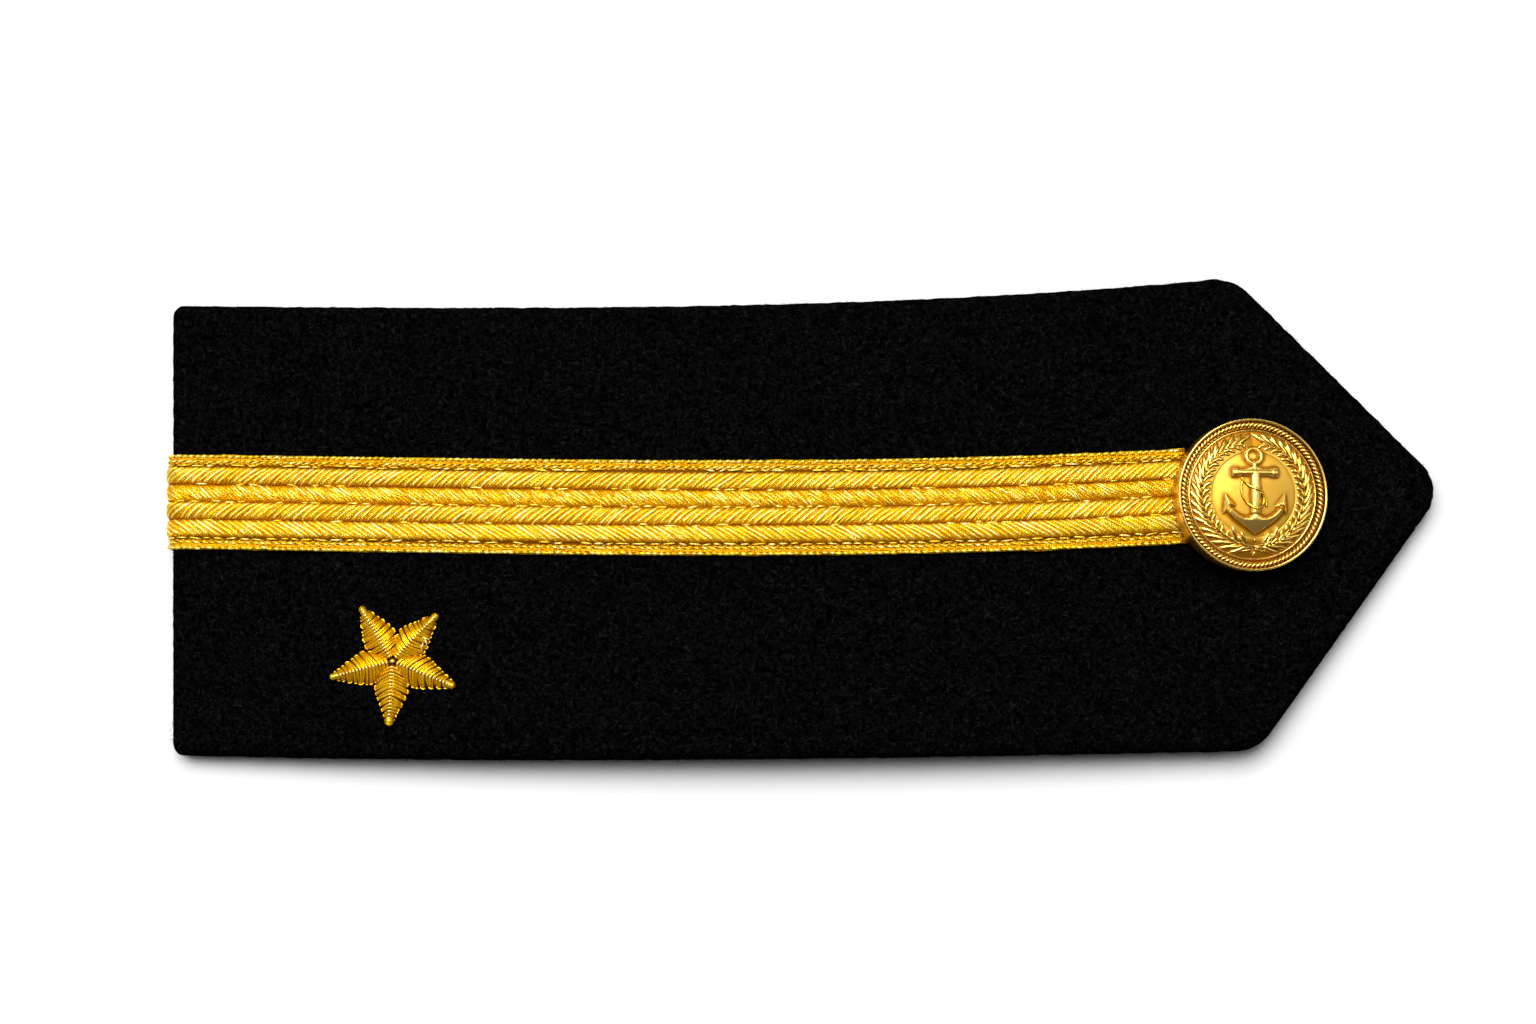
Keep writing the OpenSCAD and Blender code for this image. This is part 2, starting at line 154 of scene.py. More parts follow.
class Heap:
    """Points, faces and named values per point of one piece, gathered in millimetres."""

    def __init__(self):
        self.points, self.faces, self.values, self.count = [], [], {}, 0

    def add(self, points, faces, **values):
        points = np.asarray(points, float).reshape(-1, 3)
        for f in faces:
            self.faces.append(np.asarray(f, np.int64) + self.count)
        for name, value in values.items():
            self.values.setdefault(name, []).append(np.broadcast_to(value, len(points)).astype(np.float32))
        self.points.append(points)
        self.count += len(points)
        return self

    def mesh(self, name):
        mesh = bpy.data.meshes.new(name)
        points = np.concatenate(self.points) * MM
        corners = np.concatenate([f.ravel() for f in self.faces])
        sizes = np.concatenate([np.full(len(f), f.shape[1]) for f in self.faces])
        mesh.vertices.add(len(points))
        mesh.vertices.foreach_set("co", points.astype(np.float32).ravel())
        mesh.loops.add(len(corners))
        mesh.loops.foreach_set("vertex_index", corners.astype(np.int32))
        mesh.polygons.add(len(sizes))
        starts = np.cumsum(sizes) - sizes
        mesh.polygons.foreach_set("loop_start", starts.astype(np.int32))
        mesh.polygons.foreach_set("use_smooth", np.ones(len(sizes), bool))
        mesh.update(calc_edges=True)
        for key, parts in self.values.items():
            mesh.attributes.new(key, "FLOAT", "POINT").data.foreach_set("value", np.concatenate(parts))
        return mesh


def make_piece(name, heap, material, replaces=()):
    """One piece of the object, riding on the board."""
    made = bpy.data.objects.new(name, heap.mesh(name))
    bpy.context.scene.collection.objects.link(made)
    made.data.materials.append(material)
    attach(made, "root")
    if replaces:
        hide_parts(*replaces)
    return made


def strands(heap, paths, radius, sides, up, tone=0.5, crest=0.0):
    """Adds closed round strands along one path (p, 3) or more (n, p, 3). up is never along a strand.

    tone is by strand and point. crest paints a highlight: the line along the top of each strand is lighter by
    crest.
    """
    paths = np.asarray(paths, float).reshape(-1, *np.shape(paths)[-2:])
    n, p, _ = paths.shape
    radius = np.broadcast_to(radius, (n, p))
    ahead = np.gradient(paths, axis=1)
    ahead /= np.linalg.norm(ahead, axis=2, keepdims=True) + 1e-9
    side = np.cross(np.broadcast_to(up, paths.shape), ahead)
    side /= np.linalg.norm(side, axis=2, keepdims=True) + 1e-9
    top = np.cross(ahead, side)
    turn = np.pi / 2 + np.arange(sides) * 2 * np.pi / sides
    around = np.cos(turn)[:, None] * side[:, :, None] + np.sin(turn)[:, None] * top[:, :, None]
    ring = paths[:, :, None] + radius[:, :, None, None] * around
    # Each end closes in a low point
    first = paths[:, 0] - ahead[:, 0] * radius[:, :1] * END_POINT
    last = paths[:, -1] + ahead[:, -1] * radius[:, -1:] * END_POINT
    points = np.concatenate([ring.reshape(n, p * sides, 3), first[:, None], last[:, None]], axis=1)
    per = p * sides + 2
    k = np.arange(sides)
    k_next = (k + 1) % sides
    low = np.stack([np.full(sides, per - 2), k_next, k], 1)
    high = np.stack([np.full(sides, per - 1), k + (p - 1) * sides, k_next + (p - 1) * sides], 1)
    start = (np.arange(n) * per)[:, None, None]
    step = np.linalg.norm(np.diff(paths, axis=1), axis=2)
    way = np.concatenate([np.zeros((n, 1)), np.cumsum(step, axis=1)], axis=1)
    along = np.concatenate([np.repeat(way, sides, axis=1), way[:, :1], way[:, -1:]], axis=1)
    tone = np.broadcast_to(tone, (n, p))
    # Painted highlight along the top of each strand
    painted_top = tone[:, :, None] + crest * np.maximum(0, np.sin(turn)) ** 6
    tone = np.concatenate([painted_top.reshape(n, -1), tone[:, :1], tone[:, -1:]], axis=1)
    faces = [grid_faces(p, sides, True)[None] + start, np.concatenate([low, high])[None] + start]
    heap.add(points, [f.reshape(-1, f.shape[2]) for f in faces], along=along.ravel(), tone=tone.ravel())


def grid_faces(rows, columns, close_columns=False, close_rows=False):
    """Quads of a grid of points, row by row. A closed direction joins its last points to its first."""
    size = (rows if close_rows else rows - 1, columns if close_columns else columns - 1)
    i, k = np.indices(size).reshape(2, -1)
    i_next, k_next = (i + 1) % rows * columns, (k + 1) % columns
    return np.stack([i * columns + k, i * columns + k_next, i_next + k_next, i_next + k], 1)


def bar_faces(rows, around):
    """Faces of a closed bar: rows of points that run clockwise around it, and a face at both ends."""
    end = np.arange(around)[None]
    return [grid_faces(rows, around, True)[:, ::-1], end, end[:, ::-1] + (rows - 1) * around]


def ripple(x, y, size, seed, waves=14):
    """Smooth random height about 1 high, whose hollows are about size across."""
    rng = np.random.default_rng(seed)
    total = np.zeros(np.broadcast(x, y).shape)
    for _ in range(waves):
        a, k = rng.uniform(0, np.pi), 2 * np.pi / (size * rng.uniform(0.7, 1.8))
        total += np.cos(k * (x * math.cos(a) + y * math.sin(a)) + rng.uniform(0, 2 * np.pi))
    return total / math.sqrt(waves / 2)


# Materials

def add_node(material, kind, settings=None, links=None):
    """Adds a node with its settings and links.

    settings are its properties, the stops of its ramp and the values of its sockets. links name the node and
    the output that feed an input.
    """
    tree = material.node_tree
    made = tree.nodes.new("ShaderNode" + kind)
    for key, value in (settings or {}).items():
        if key == "stops":
            ramp = made.color_ramp.elements
            if len(value) > len(ramp):
                ramp.new(0.5)
            for stop, (position, colour) in zip(ramp, value.items()):
                stop.position, stop.color = position, colour
        elif isinstance(key, int) or key in made.inputs:
            made.inputs[key].default_value = value
        else:
            setattr(made, key, value)
    for key, (source, output) in (links or {}).items():
        tree.links.new(source.outputs[output], made.inputs[key])
    return made


def new_material(name):
    """An empty material, and the function that adds a node to it."""
    material = bpy.data.materials.new(name)
    material.use_nodes = True
    material.node_tree.nodes.clear()
    return material, functools.partial(add_node, material)


def finish_material(material, shader):
    """Makes the shader the material's surface."""
    add_node(material, "OutputMaterial", links={"Surface": (shader, "BSDF")})
    return material


def melton_wool(colours):
    """Melton: wool woven, fulled and cropped until the weave is gone.

    It looks matt black, with a faint felted grain and a few curved flecks of fibre.
    """
    material, node = new_material("black_melton_wool")
    # This pattern, like the others, lies in the object's own metres
    place = {"Vector": (node("TexCoord"), "Object")}
    # Fulled fibres lie in tufts of about 0.5 mm, drawn at 0.55 mm
    tufts = node("TexNoise", {"Scale": 1800.0, "Detail": 5.0, "Roughness": 0.65}, place)
    grain = node("Math", {"operation": "POWER", 1: 2.0}, {0: (tufts, "Fac")})
    height = (grain, "Value")
    # Fibres near the surface, 0.02 mm thick, are drawn as curved flecks about 0.1 mm wide, at two lengths
    for run, share in ((1100.0, 0.52), (1900.0, 0.5)):
        bend = node("TexNoise", {"Scale": run, "Detail": 1.0, "Distortion": 0.8}, place)
        off = node("Math", {"operation": "SUBTRACT", 1: 0.5}, {0: (bend, "Fac")})
        near = node("Math", {"operation": "ABSOLUTE"}, {0: (off, "Value")})
        line = node("MapRange", {"From Max": 0.035, "To Min": 1.0, "To Max": 0.0},
                    {"Value": (near, "Value")})
        breaks = node("TexNoise", {"Scale": run * 1.3, "Detail": 0.0}, place)
        kept = node("MapRange", {"From Min": share, "From Max": share + 0.08}, {"Value": (breaks, "Fac")})
        fleck = node("Math", {"operation": "MULTIPLY"}, {0: (line, "Result"), 1: (kept, "Result")})
        raised = node("Math", {"operation": "MULTIPLY_ADD", 1: 0.6}, {0: (fleck, "Value"), 2: height})
        height = (raised, "Value")
    stops = {0.15: colours.wool_dark, 1.0: colours.wool_light}
    shade = node("ValToRGB", {"stops": stops}, {"Fac": height})
    bump = node("Bump", {"Strength": 0.5, "Distance": 0.08 * MM}, {"Height": height})
    cloth = node("BsdfPrincipled", {"Roughness": 0.95, "Specular IOR Level": 0.0},
                 {"Base Color": (shade, "Color"), "Normal": (bump, "Normal")})
    return finish_material(material, cloth)


def loose_fibre(colours):
    """Wool fibres that the cropping left. Some are painted lighter than the felted cloth, as painted sheen
    where they catch a little more light.
    """
    material, node = new_material("raised_wool_fibre")
    tone = node("Attribute", {"attribute_name": "tone"})
    stops = {0.0: colours.wool_dark, 1.0: colours.fibre}
    shade = node("ValToRGB", {"stops": stops}, {"Fac": (tone, "Fac")})
    fibre = node("BsdfPrincipled", {"Roughness": 0.8, "Specular IOR Level": 0.05},
                 {"Base Color": (shade, "Color")})
    return finish_material(material, fibre)


def wound_thread(name, shades, roughness, winding, depth, metal, painted_glint_strength):
    """Gilt thread: flattened wire wound round a yellow silk core, so it glows as well as glints.

    shades are the dark, the clean and the pale gold. The dark gold is tarnish and painted shade on low
    threads;
    the pale gold is painted highlight on the tops of the highest threads and in painted glints. winding and
    depth are the pitch and the depth of the wire's turns, in millimetres. metal is how far the wire hides the
    silk, and painted_glint_strength is how much the painted glints lighten single turns.
    """
    material, node = new_material(name)
    place = {"Vector": (node("TexCoord"), "Object")}
    along = node("Attribute", {"attribute_name": "along"})
    tone = node("Attribute", {"attribute_name": "tone"})
    # The flattened wire is 0.1 mm wide; its turns are drawn coarser, at the pitch that is handed in
    phase = node("Math", {"operation": "MULTIPLY", 1: 2 * math.pi / winding}, {0: (along, "Fac")})
    wound = node("Math", {"operation": "SINE"}, {0: (phase, "Value")})
    # Uneven tension, about 0.25 mm long
    slack = node("TexNoise", {"Scale": 4000.0, "Detail": 2.0}, place)
    height = node("Math", {"operation": "MULTIPLY_ADD", 1: 0.25}, {0: (wound, "Value"), 2: (slack, "Fac")})
    bump = node("Bump", {"Strength": 1.0, "Distance": depth * MM}, {"Height": (height, "Value")})
    # Tarnish and dust, in patches of about 2 mm
    patches = node("TexNoise", {"Scale": 500.0, "Detail": 3.0}, place)
    mixed = node("Math", {"operation": "MULTIPLY_ADD", 1: 0.4}, {0: (patches, "Fac"), 2: (tone, "Fac")})
    # Painted glints: pale specks about 0.15 mm across, where turns of the wire would lie square to the light
    turns = node("TexNoise", {"Scale": 6500.0, "Detail": 1.0}, place)
    painted_glint = node("MapRange", {"From Min": 0.56, "From Max": 0.65}, {"Value": (turns, "Fac")})
    wear_and_painted_light = node("Math", {"operation": "MULTIPLY_ADD", 1: painted_glint_strength},
                {0: (painted_glint, "Result"), 2: (mixed, "Value")})
    stops = dict(zip((0.2, 0.65, 1.0), shades))
    shade = node("ValToRGB", {"stops": stops}, {"Fac": (wear_and_painted_light, "Value")})
    thread = node("BsdfPrincipled",
                  {"Metallic": metal, "Roughness": roughness, "Specular IOR Level": 0.0,
                   "Coat Weight": 0.15, "Coat Roughness": 0.12},
                  {"Base Color": (shade, "Color"), "Normal": (bump, "Normal")})
    return finish_material(material, thread)


def silk_ground(colours):
    """Yellow silk and cotton that carry the gilt threads. Its tone paints shade, so it shows as brown depth
    between them.
    """
    material, node = new_material("yellow_silk_ground")
    place = {"Vector": (node("TexCoord"), "Object")}
    tone = node("Attribute", {"attribute_name": "tone"})
    # Ground threads of 0.3 mm
    weave = node("TexNoise", {"Scale": 3300.0, "Detail": 2.0}, place)
    mixed = node("Math", {"operation": "MULTIPLY"}, {0: (tone, "Fac"), 1: (weave, "Fac")})
    stops = {0.1: colours.silk_dark, 0.6: colours.silk_light}
    shade = node("ValToRGB", {"stops": stops}, {"Fac": (mixed, "Value")})
    bump = node("Bump", {"Strength": 0.8, "Distance": 0.1 * MM}, {"Height": (weave, "Fac")})
    silk = node("BsdfPrincipled", {"Roughness": 0.6, "Metallic": 0.3, "Specular IOR Level": 0.0},
                {"Base Color": (shade, "Color"), "Normal": (bump, "Normal")})
    return finish_material(material, silk)


def gilt_brass(name, colours, clean, roughness, grain, depth, coat):
    """Stamped brass, fire gilt, then left satin or burnished.

    Painted shade makes it browner in the hollows, and painted highlight makes it paler on raised parts, which
    are also smoother. clean is its colour in between.
    grain and depth are the size and the depth of the gilding's satin grain, in millimetres. coat is how much
    of its polish is left.
    """
    material, node = new_material(name)
    place = {"Vector": (node("TexCoord"), "Object")}
    tone = node("Attribute", {"attribute_name": "tone"})
    satin = node("TexNoise", {"Scale": 1000.0 / grain, "Detail": 3.0}, place)
    bump = node("Bump", {"Strength": 1.0, "Distance": depth * MM}, {"Height": (satin, "Fac")})
    # Gilding is thinner in patches of about 3 mm
    patches = node("TexNoise", {"Scale": 330.0, "Detail": 2.0}, place)
    wear_and_painted_light = node("Math", {"operation": "MULTIPLY_ADD", 1: 0.25}, {0: (patches, "Fac"), 2: (tone, "Fac")})
    # The dark stop is painted shade and the pale stop painted highlight
    stops = {0.2: colours.gilt_dark, 0.72: clean, 1.0: colours.gilt_painted_highlight}
    shade = node("ValToRGB", {"stops": stops}, {"Fac": (wear_and_painted_light, "Value")})
    painted_light_and_polish = node("MapRange",
                  {"From Min": 0.75, "From Max": 1.0, "To Min": roughness, "To Max": 0.65 * roughness},
                  {"Value": (wear_and_painted_light, "Value")})
    metal = node("BsdfPrincipled", {"Metallic": 1.0, "Coat Weight": coat, "Coat Roughness": 0.2},
                 {"Base Color": (shade, "Color"), "Roughness": (painted_light_and_polish, "Result"),
                  "Normal": (bump, "Normal")})
    return finish_material(material, metal)


def turned_brass(name, colour, ring):
    """Plain brass turned on a lathe. It shows fine rings round its own axis, ring millimetres apart."""
    material, node = new_material(name)
    place = {"Vector": (node("TexCoord"), "Object")}
    axis = node("Mapping", {"Location": (-BUTTON_AT[0] * MM, -BUTTON_AT[1] * MM, 0.0)}, place)
    # A ring wave repeats 20 times in each unit of its scale
    rings = node("TexWave", {"wave_type": "RINGS", "rings_direction": "Z",
                             "Scale": 1000.0 / ring / 20, "Distortion": 0.4},
                 {"Vector": (axis, "Vector")})
    stops = {0.0: tuple(c * 0.8 for c in colour[:3]) + (1.0,), 1.0: colour}
    shade = node("ValToRGB", {"stops": stops}, {"Fac": (rings, "Fac")})
    bump = node("Bump", {"Strength": 0.4, "Distance": 0.02 * MM}, {"Height": (rings, "Fac")})
    metal = node("BsdfPrincipled", {"Metallic": 1.0, "Roughness": 0.32},
                 {"Base Color": (shade, "Color"), "Normal": (bump, "Normal")})
    return finish_material(material, metal)


# The board's outline

def corner_out(a, b):
    """The way to a corner from the middle of its rounding, for radius 1 and side normals at a and b."""
    return (unit(a) + unit(b)) / (1 + unit(a) @ unit(b))


def round_corner(p, a, b, r, inset, steps, last=1.0):
    """Points of a rounded corner at p, between sides whose outward normals point at angles a and b."""
    round_r = max(r - inset, 0.15)
    middle = p - (inset + round_r) * corner_out(a, b)
    turns = np.linspace(0, last, int(steps * last) + 1)
    return middle + round_r * unit(a + (b - a) * turns)


def edge_normal(x, edge, sign):
    """Angle of a bowed edge's outward normal at length x."""
    return sign * 90 + np.degrees(np.arctan(bow(x + 0.5, edge) - bow(x - 0.5, edge)))


UPPER_NORMAL = 90 - POINT_ANGLES["upper"]
LOWER_NORMAL = POINT_ANGLES["lower"] - 90
POINT_AT = np.array([HALF_LEN - POINT_R + POINT_R * corner_out(UPPER_NORMAL, LOWER_NORMAL)[0], POINT_Y])
# Each side: which way across is out, and the normals of its own and of the other side of the point
SIDES = {"upper": (1, UPPER_NORMAL, LOWER_NORMAL), "lower": (-1, LOWER_NORMAL, UPPER_NORMAL)}


def board_side(edge, inset, edge_steps, corner_steps):
    """Points of one long side, from the square end to the tip of the point, moved in by inset."""
    sign, own, other = SIDES[edge]
    rise = math.tan(math.radians(POINT_ANGLES[edge]))
    shoulder_x = POINT_AT[0] - sign * (bow(SHOULDER_SHARE * HALF_LEN, edge) - POINT_Y) / rise
    shoulder = np.array([shoulder_x, POINT_Y + sign * (POINT_AT[0] - shoulder_x) * rise])
    end_y = bow(-HALF_LEN, edge)
    end = np.array([END_X - (end_y - END_Y) * SHEAR, end_y])
    # The bowed and the straight stretch stop short of the roundings
    x = np.linspace(end[0] + 3.5, shoulder_x - 4.5, edge_steps)
    normal = edge_normal(x, edge, sign)
    t = np.linspace(0.13, 0.86, edge_steps // 4)[:, None]
    return np.concatenate([
        round_corner(end, sign * 180 + END_SLANT, normal[0], END_CORNER_R, inset, corner_steps),
        np.stack([x, bow(x, edge)], 1) - inset * unit(normal),
        round_corner(shoulder, normal[-1], own, SHOULDER_R, inset, corner_steps),
        shoulder + (POINT_AT - shoulder) * t - inset * unit(own),
        round_corner(POINT_AT, own, other, POINT_R, inset, 2 * corner_steps, 0.5),
    ])


def at_button(points):
    """Points in the button's own frame, moved to the board. The stud's axis is the button's Z."""
    tilt = math.radians(BUTTON_LEAN) + arch_lean(BUTTON_AT[0])
    x, y, z = np.moveaxis(np.asarray(points, float), -1, 0)
    return np.stack([
        BUTTON_AT[0] + x * math.cos(tilt) + z * math.sin(tilt),
        BUTTON_AT[1] + y,
        cloth_height(BUTTON_AT[0]) + BUTTON_LIFT - x * math.sin(tilt) + z * math.cos(tilt),
    ], -1)


def board_shape(sizes):
    """The covered board as one closed skin: rolled edges, a faint roll line and a slightly uneven nap."""
    across, roll_width = 70, 1.6
    # Rows of the skin from the underside to the top: inset and height
    low = arc(LOW_EDGE_R, LOW_EDGE_R, LOW_EDGE_R, 270, 180, 8)
    high = arc(TOP_EDGE_R, BOARD_THICK - TOP_EDGE_R, TOP_EDGE_R, 180, 90, 11)
    # The wool is drawn round the board's edge and sinks a little just inside it
    d = np.array([0.3, 0.6, 0.9, 1.2, roll_width])
    sink = sizes.roll_depth / MM * np.sin(np.pi * d / roll_width)
    rows = np.concatenate([low, high, np.stack([TOP_EDGE_R + d, BOARD_THICK - sink], 1)])
    sides = [[board_side(edge, inset, edge_steps=210, corner_steps=12) for edge in SIDES]
             for inset in rows[:, 0]]
    # Each ring goes out along the upper side, back along the lower one and over the square end
    over_end = np.linspace(0, 1, across)[1:-1, None]
    rings = np.array([np.concatenate([up, down[::-1], down[0] + (up[0] - down[0]) * over_end])
                      for up, down in sides])
    z = rows[:, 1, None] + arch(rings[:, :, 0])
    # The nap swells and thins along the rolled edge, but not under the lace
    outward = rings[len(low)] - rings[-1]
    outward /= np.linalg.norm(outward, axis=1, keepdims=True)
    x, y = rings[len(low)].T
    swell = 0.03 * ripple(x, y, 1.2, 8) * ((x > END_X + 2) | (np.abs(y - END_Y) > LACE_W / 2 + 1))
    share = np.clip(1 - rows[:, 0] / LOW_EDGE_R, 0, 1)[:, None, None]
    skin = np.concatenate([rings + share * (swell[:, None] * outward), z[..., None]], 2)
    heap = Heap().add(skin, [grid_faces(len(rows), rings.shape[1], True)])
    # The underside and the top, which swells and dips a little
    t = np.linspace(0, 1, across)[:, None, None]
    for row, wave, nap in ((0, 0.0, 0.0), (len(rows) - 1, 0.05, 0.012)):
        up, down = sides[row]
        flat = up * (1 - t) + down * t
        x, y = np.moveaxis(flat, -1, 0)
        uneven = np.sin(np.pi * t[..., 0]) * (wave * ripple(x, y, 14, 5) + nap * ripple(x, y, 2.2, 6))
        z = rows[row, 1] + arch(x) + uneven
        heap.add(np.stack([x, y, z], -1), [grid_faces(across, len(up))])
    return heap


def closed_rings(rings):
    """A closed shape through rings of points, anticlockwise and from the bottom up."""
    rings = np.asarray(rings, float)
    return Heap().add(rings, [f[:, ::-1] for f in bar_faces(*rings.shape[:2])])


def end_recess():
    """The shallow recess in the underside that takes the folded end of the lace."""
    x0, x1 = -HALF_LEN - 5, END_X + LACE_TAIL + 3 * GAP
    y0, y1 = END_Y - LACE_W / 2 - 3 * GAP, END_Y + LACE_W / 2 + 3 * GAP
    corners = ((x0, y0), (x1, y0), (x1, y1), (x0, y1))
    return closed_rings([[(x, y, z) for x, y in corners] for z in (-1, RECESS_TOP)])


def stud_well():
    """The hole for the button's stud, and the well under it that takes the stud's head."""
    # The board's underside, seen from the button's own frame
    underside = -BOARD_THICK - BUTTON_LIFT
    around = unit(np.arange(64) * 360 / 64)
    steps = ((WELL_R, underside - 5), (WELL_R, underside + WELL_DEPTH),
             (STUD_HOLE_R, underside + WELL_DEPTH), (STUD_HOLE_R, 6.0))
    rings = [np.column_stack([r * around, np.full(len(around), z)]) for r, z in steps]
    return closed_rings(at_button(np.array(rings)))


def weld(made):
    """Joins the points that two parts of one skin share."""
    work = bmesh.new()
    work.from_mesh(made.data)
    bmesh.ops.remove_doubles(work, verts=work.verts, dist=0.01 * MM)
    bmesh.ops.recalc_face_normals(work, faces=work.faces)
    work.to_mesh(made.data)
    work.free()


def cut(made, heap):
    """Takes the heap's closed shape out of a piece."""
    tool = bpy.data.objects.new("cutter", heap.mesh("cutter"))
    bpy.context.scene.collection.objects.link(tool)
    change = made.modifiers.new("cut", "BOOLEAN")
    change.operation, change.object, change.solver = "DIFFERENCE", tool, "EXACT"
    bpy.context.view_layer.update()
    shape = bpy.data.meshes.new_from_object(made.evaluated_get(bpy.context.evaluated_depsgraph_get()))
    made.modifiers.clear()
    old, made.data = made.data, shape
    bpy.data.meshes.remove(old)
    bpy.data.objects.remove(tool)


def loose_fibres(rng, count):
    """Wool fibres that lie on the cloth, clear of the lace, the button and the star."""
    x = rng.uniform(-78.5, 76, count)
    # They stay clear of the bowed edges, and of the straight sides of the point
    clear, clear_point, tip_x, bow_x = 1.5, 2, 79, np.minimum(x, 50)
    upper, lower = bow(bow_x, "upper") - clear, bow(bow_x, "lower") + clear
    upper = np.minimum(upper, POINT_Y + (tip_x - x) / math.tan(math.radians(UPPER_NORMAL)) - clear_point)
    lower = np.maximum(lower, POINT_Y + (tip_x - x) / math.tan(math.radians(LOWER_NORMAL)) + clear_point)
    y = lower + (upper - lower) * rng.uniform(0, 1, count)
    keep = (np.abs(y - bow(x, "lace")) > LACE_W / 2 + 0.8) | (x > LACE_END_X + 1)
    keep &= np.hypot(x - BUTTON_AT[0], y - BUTTON_AT[1]) > BUTTON_R + 0.6
    keep &= np.hypot(x - STAR_AT[0], y - STAR_AT[1]) > STAR_REACH
    x, y = x[keep, None], y[keep, None]
    n = len(x)
    a, length = rng.uniform(0, 2 * np.pi, (n, 1)), rng.uniform(0.35, 1.3, (n, 1))
    curl = rng.normal(0, 0.4, (n, 1))
    t = np.array([-1.0, -0.33, 0.33, 1.0])
    x = x + length / 2 * np.cos(a + curl * t) * t
    y = y + length / 2 * np.sin(a + curl * t) * t
    z = cloth_height(x) + rng.uniform(0.02, 0.1, (n, 1)) + rng.uniform(0, 0.12, (n, 4)) * np.abs(t)
    thick = rng.uniform(0.016, 0.032, (n, 1)) * np.array([0.4, 1.0, 1.0, 0.4])
    heap = Heap()
    strands(heap, np.stack([x, y, z], -1), thick, 3, UP, rng.uniform(0, 1, (n, 1)) ** 2)
    return heap


def edge_fibres(rng, count):
    """Short wool fibres that stand out of the rolled edge, all the way round."""
    up, down = (board_side(edge, 0.1, edge_steps=230, corner_steps=12) for edge in SIDES)
    ring = np.concatenate([up, down[::-1], up[:1]])
    step = np.linalg.norm(np.diff(ring, axis=0), axis=1)
    way = np.concatenate([[0], np.cumsum(step)])
    t = np.array([0.0, 0.5, 1.0])
    at = (rng.uniform(0, way[-1], count)[:, None] + rng.normal(0, 0.25, (count, 1)) * t) % way[-1]
    k = np.clip(np.searchsorted(way, at[:, 0]) - 1, 0, len(step) - 1)
    run = (ring[k + 1] - ring[k]) / step[k, None]
    out = rng.uniform(0.05, 0.4, (count, 1)) * t ** 1.4
    x = np.interp(at, way, ring[:, 0]) - run[:, 1:] * out
    y = np.interp(at, way, ring[:, 1]) + run[:, :1] * out
    z = arch(x) + rng.uniform(1.2, 2.6, (count, 1)) + rng.normal(0, 0.24, (count, 1)) * t
    thick = rng.uniform(0.015, 0.028, (count, 1)) * np.array([1.0, 0.9, 0.4])
    heap = Heap()
    strands(heap, np.stack([x, y, z], -1), thick, 3, UP, rng.uniform(0, 0.4, (count, 1)))
    return heap


# The lace's way

def lace_way():
    """Length along the lace from its end by the button, then x, height and normal of its inner face."""
    rows = [[x, float(cloth_height(x)) + GAP, 90 - math.degrees(arch_lean(x))]
            for x in np.linspace(LACE_END_X, END_X + TOP_EDGE_R, 200)]
    # It bends over the end of the board and folds into the recess
    fold_r = 0.4
    for x, z, r, turns in (
        (END_X + TOP_EDGE_R, BOARD_THICK - TOP_EDGE_R, TOP_EDGE_R + GAP, np.arange(96, 181, 6)),
        (END_X - GAP + fold_r, RECESS_TOP - GAP + fold_r, fold_r, np.arange(180, 271, 10)),
    ):
        rows += [[x + r * math.cos(math.radians(a)), z + r * math.sin(math.radians(a)), a] for a in turns]
    rows.append([END_X + LACE_TAIL, RECESS_TOP - GAP, 270])
    rows = np.array(rows)
    way = np.concatenate([[0], np.cumsum(np.linalg.norm(np.diff(rows[:, :2], axis=0), axis=1))])
    return np.column_stack([way, rows])


WAY = lace_way()
WAY_LEN = float(WAY[-1, 0])


def on_lace(s, v, h):
    """Points at length s along the lace, v across it and h above its inner face."""
    s, v, h = np.broadcast_arrays(s, v, h)
    x, z, a = (np.interp(s, WAY[:, 0], WAY[:, c]) for c in (1, 2, 3))
    y = bow(np.maximum(x, END_X), "lace") + v
    # The lace is pulled thin over the end and pressed flat under the board
    h = h * (1 - 0.3 * np.clip((a - 95) / 45, 0, 1))
    a = np.radians(a)
    return np.stack([x - v * SHEAR + h * np.cos(a), y, z + h * np.sin(a)], -1)


def lace_normal(s):
    """The way out of the lace at length s along it."""
    a = np.radians(np.interp(s, WAY[:, 0], WAY[:, 3]))
    return np.stack([np.cos(a), np.zeros_like(a), np.sin(a)], -1)


def rib_height(v):
    """Height of the ribs across the lace, which have steep sides and low grooves between them."""
    groove = LACE_WEB - 0.08
    share = np.abs(np.abs(v) % RIB_W / RIB_W * 2 - 1)
    return groove + (LACE_CROWN - groove) * np.sqrt(np.maximum(0, 1 - share ** 2.9))


def lace_ground():
    """The woven ground: a thin ribbed band that the gilt threads lie on, with painted shade that makes it
    darkest in the grooves.
    """
    v = np.linspace(-LACE_W / 2 + 0.12, LACE_W / 2 - 0.12, 80)
    h = np.where(np.abs(v) < 2 * RIB_W, rib_height(v) - 0.17, 0.3)
    v, h = np.append(v, [v[-1], v[0]]), np.append(np.maximum(h, 0.1), [0.0, 0.0])
    # Painted shade: the ground is darker where it lies low
    tone = np.where(np.abs(v) < 2 * RIB_W + 0.35, np.clip((h - 0.25) / 0.3, 0, 1), 0.5)
    s = np.linspace(0.1, WAY_LEN, 260)
    return Heap().add(on_lace(s[:, None], v, h), bar_faces(len(s), len(v)), tone=np.tile(tone, len(s)))


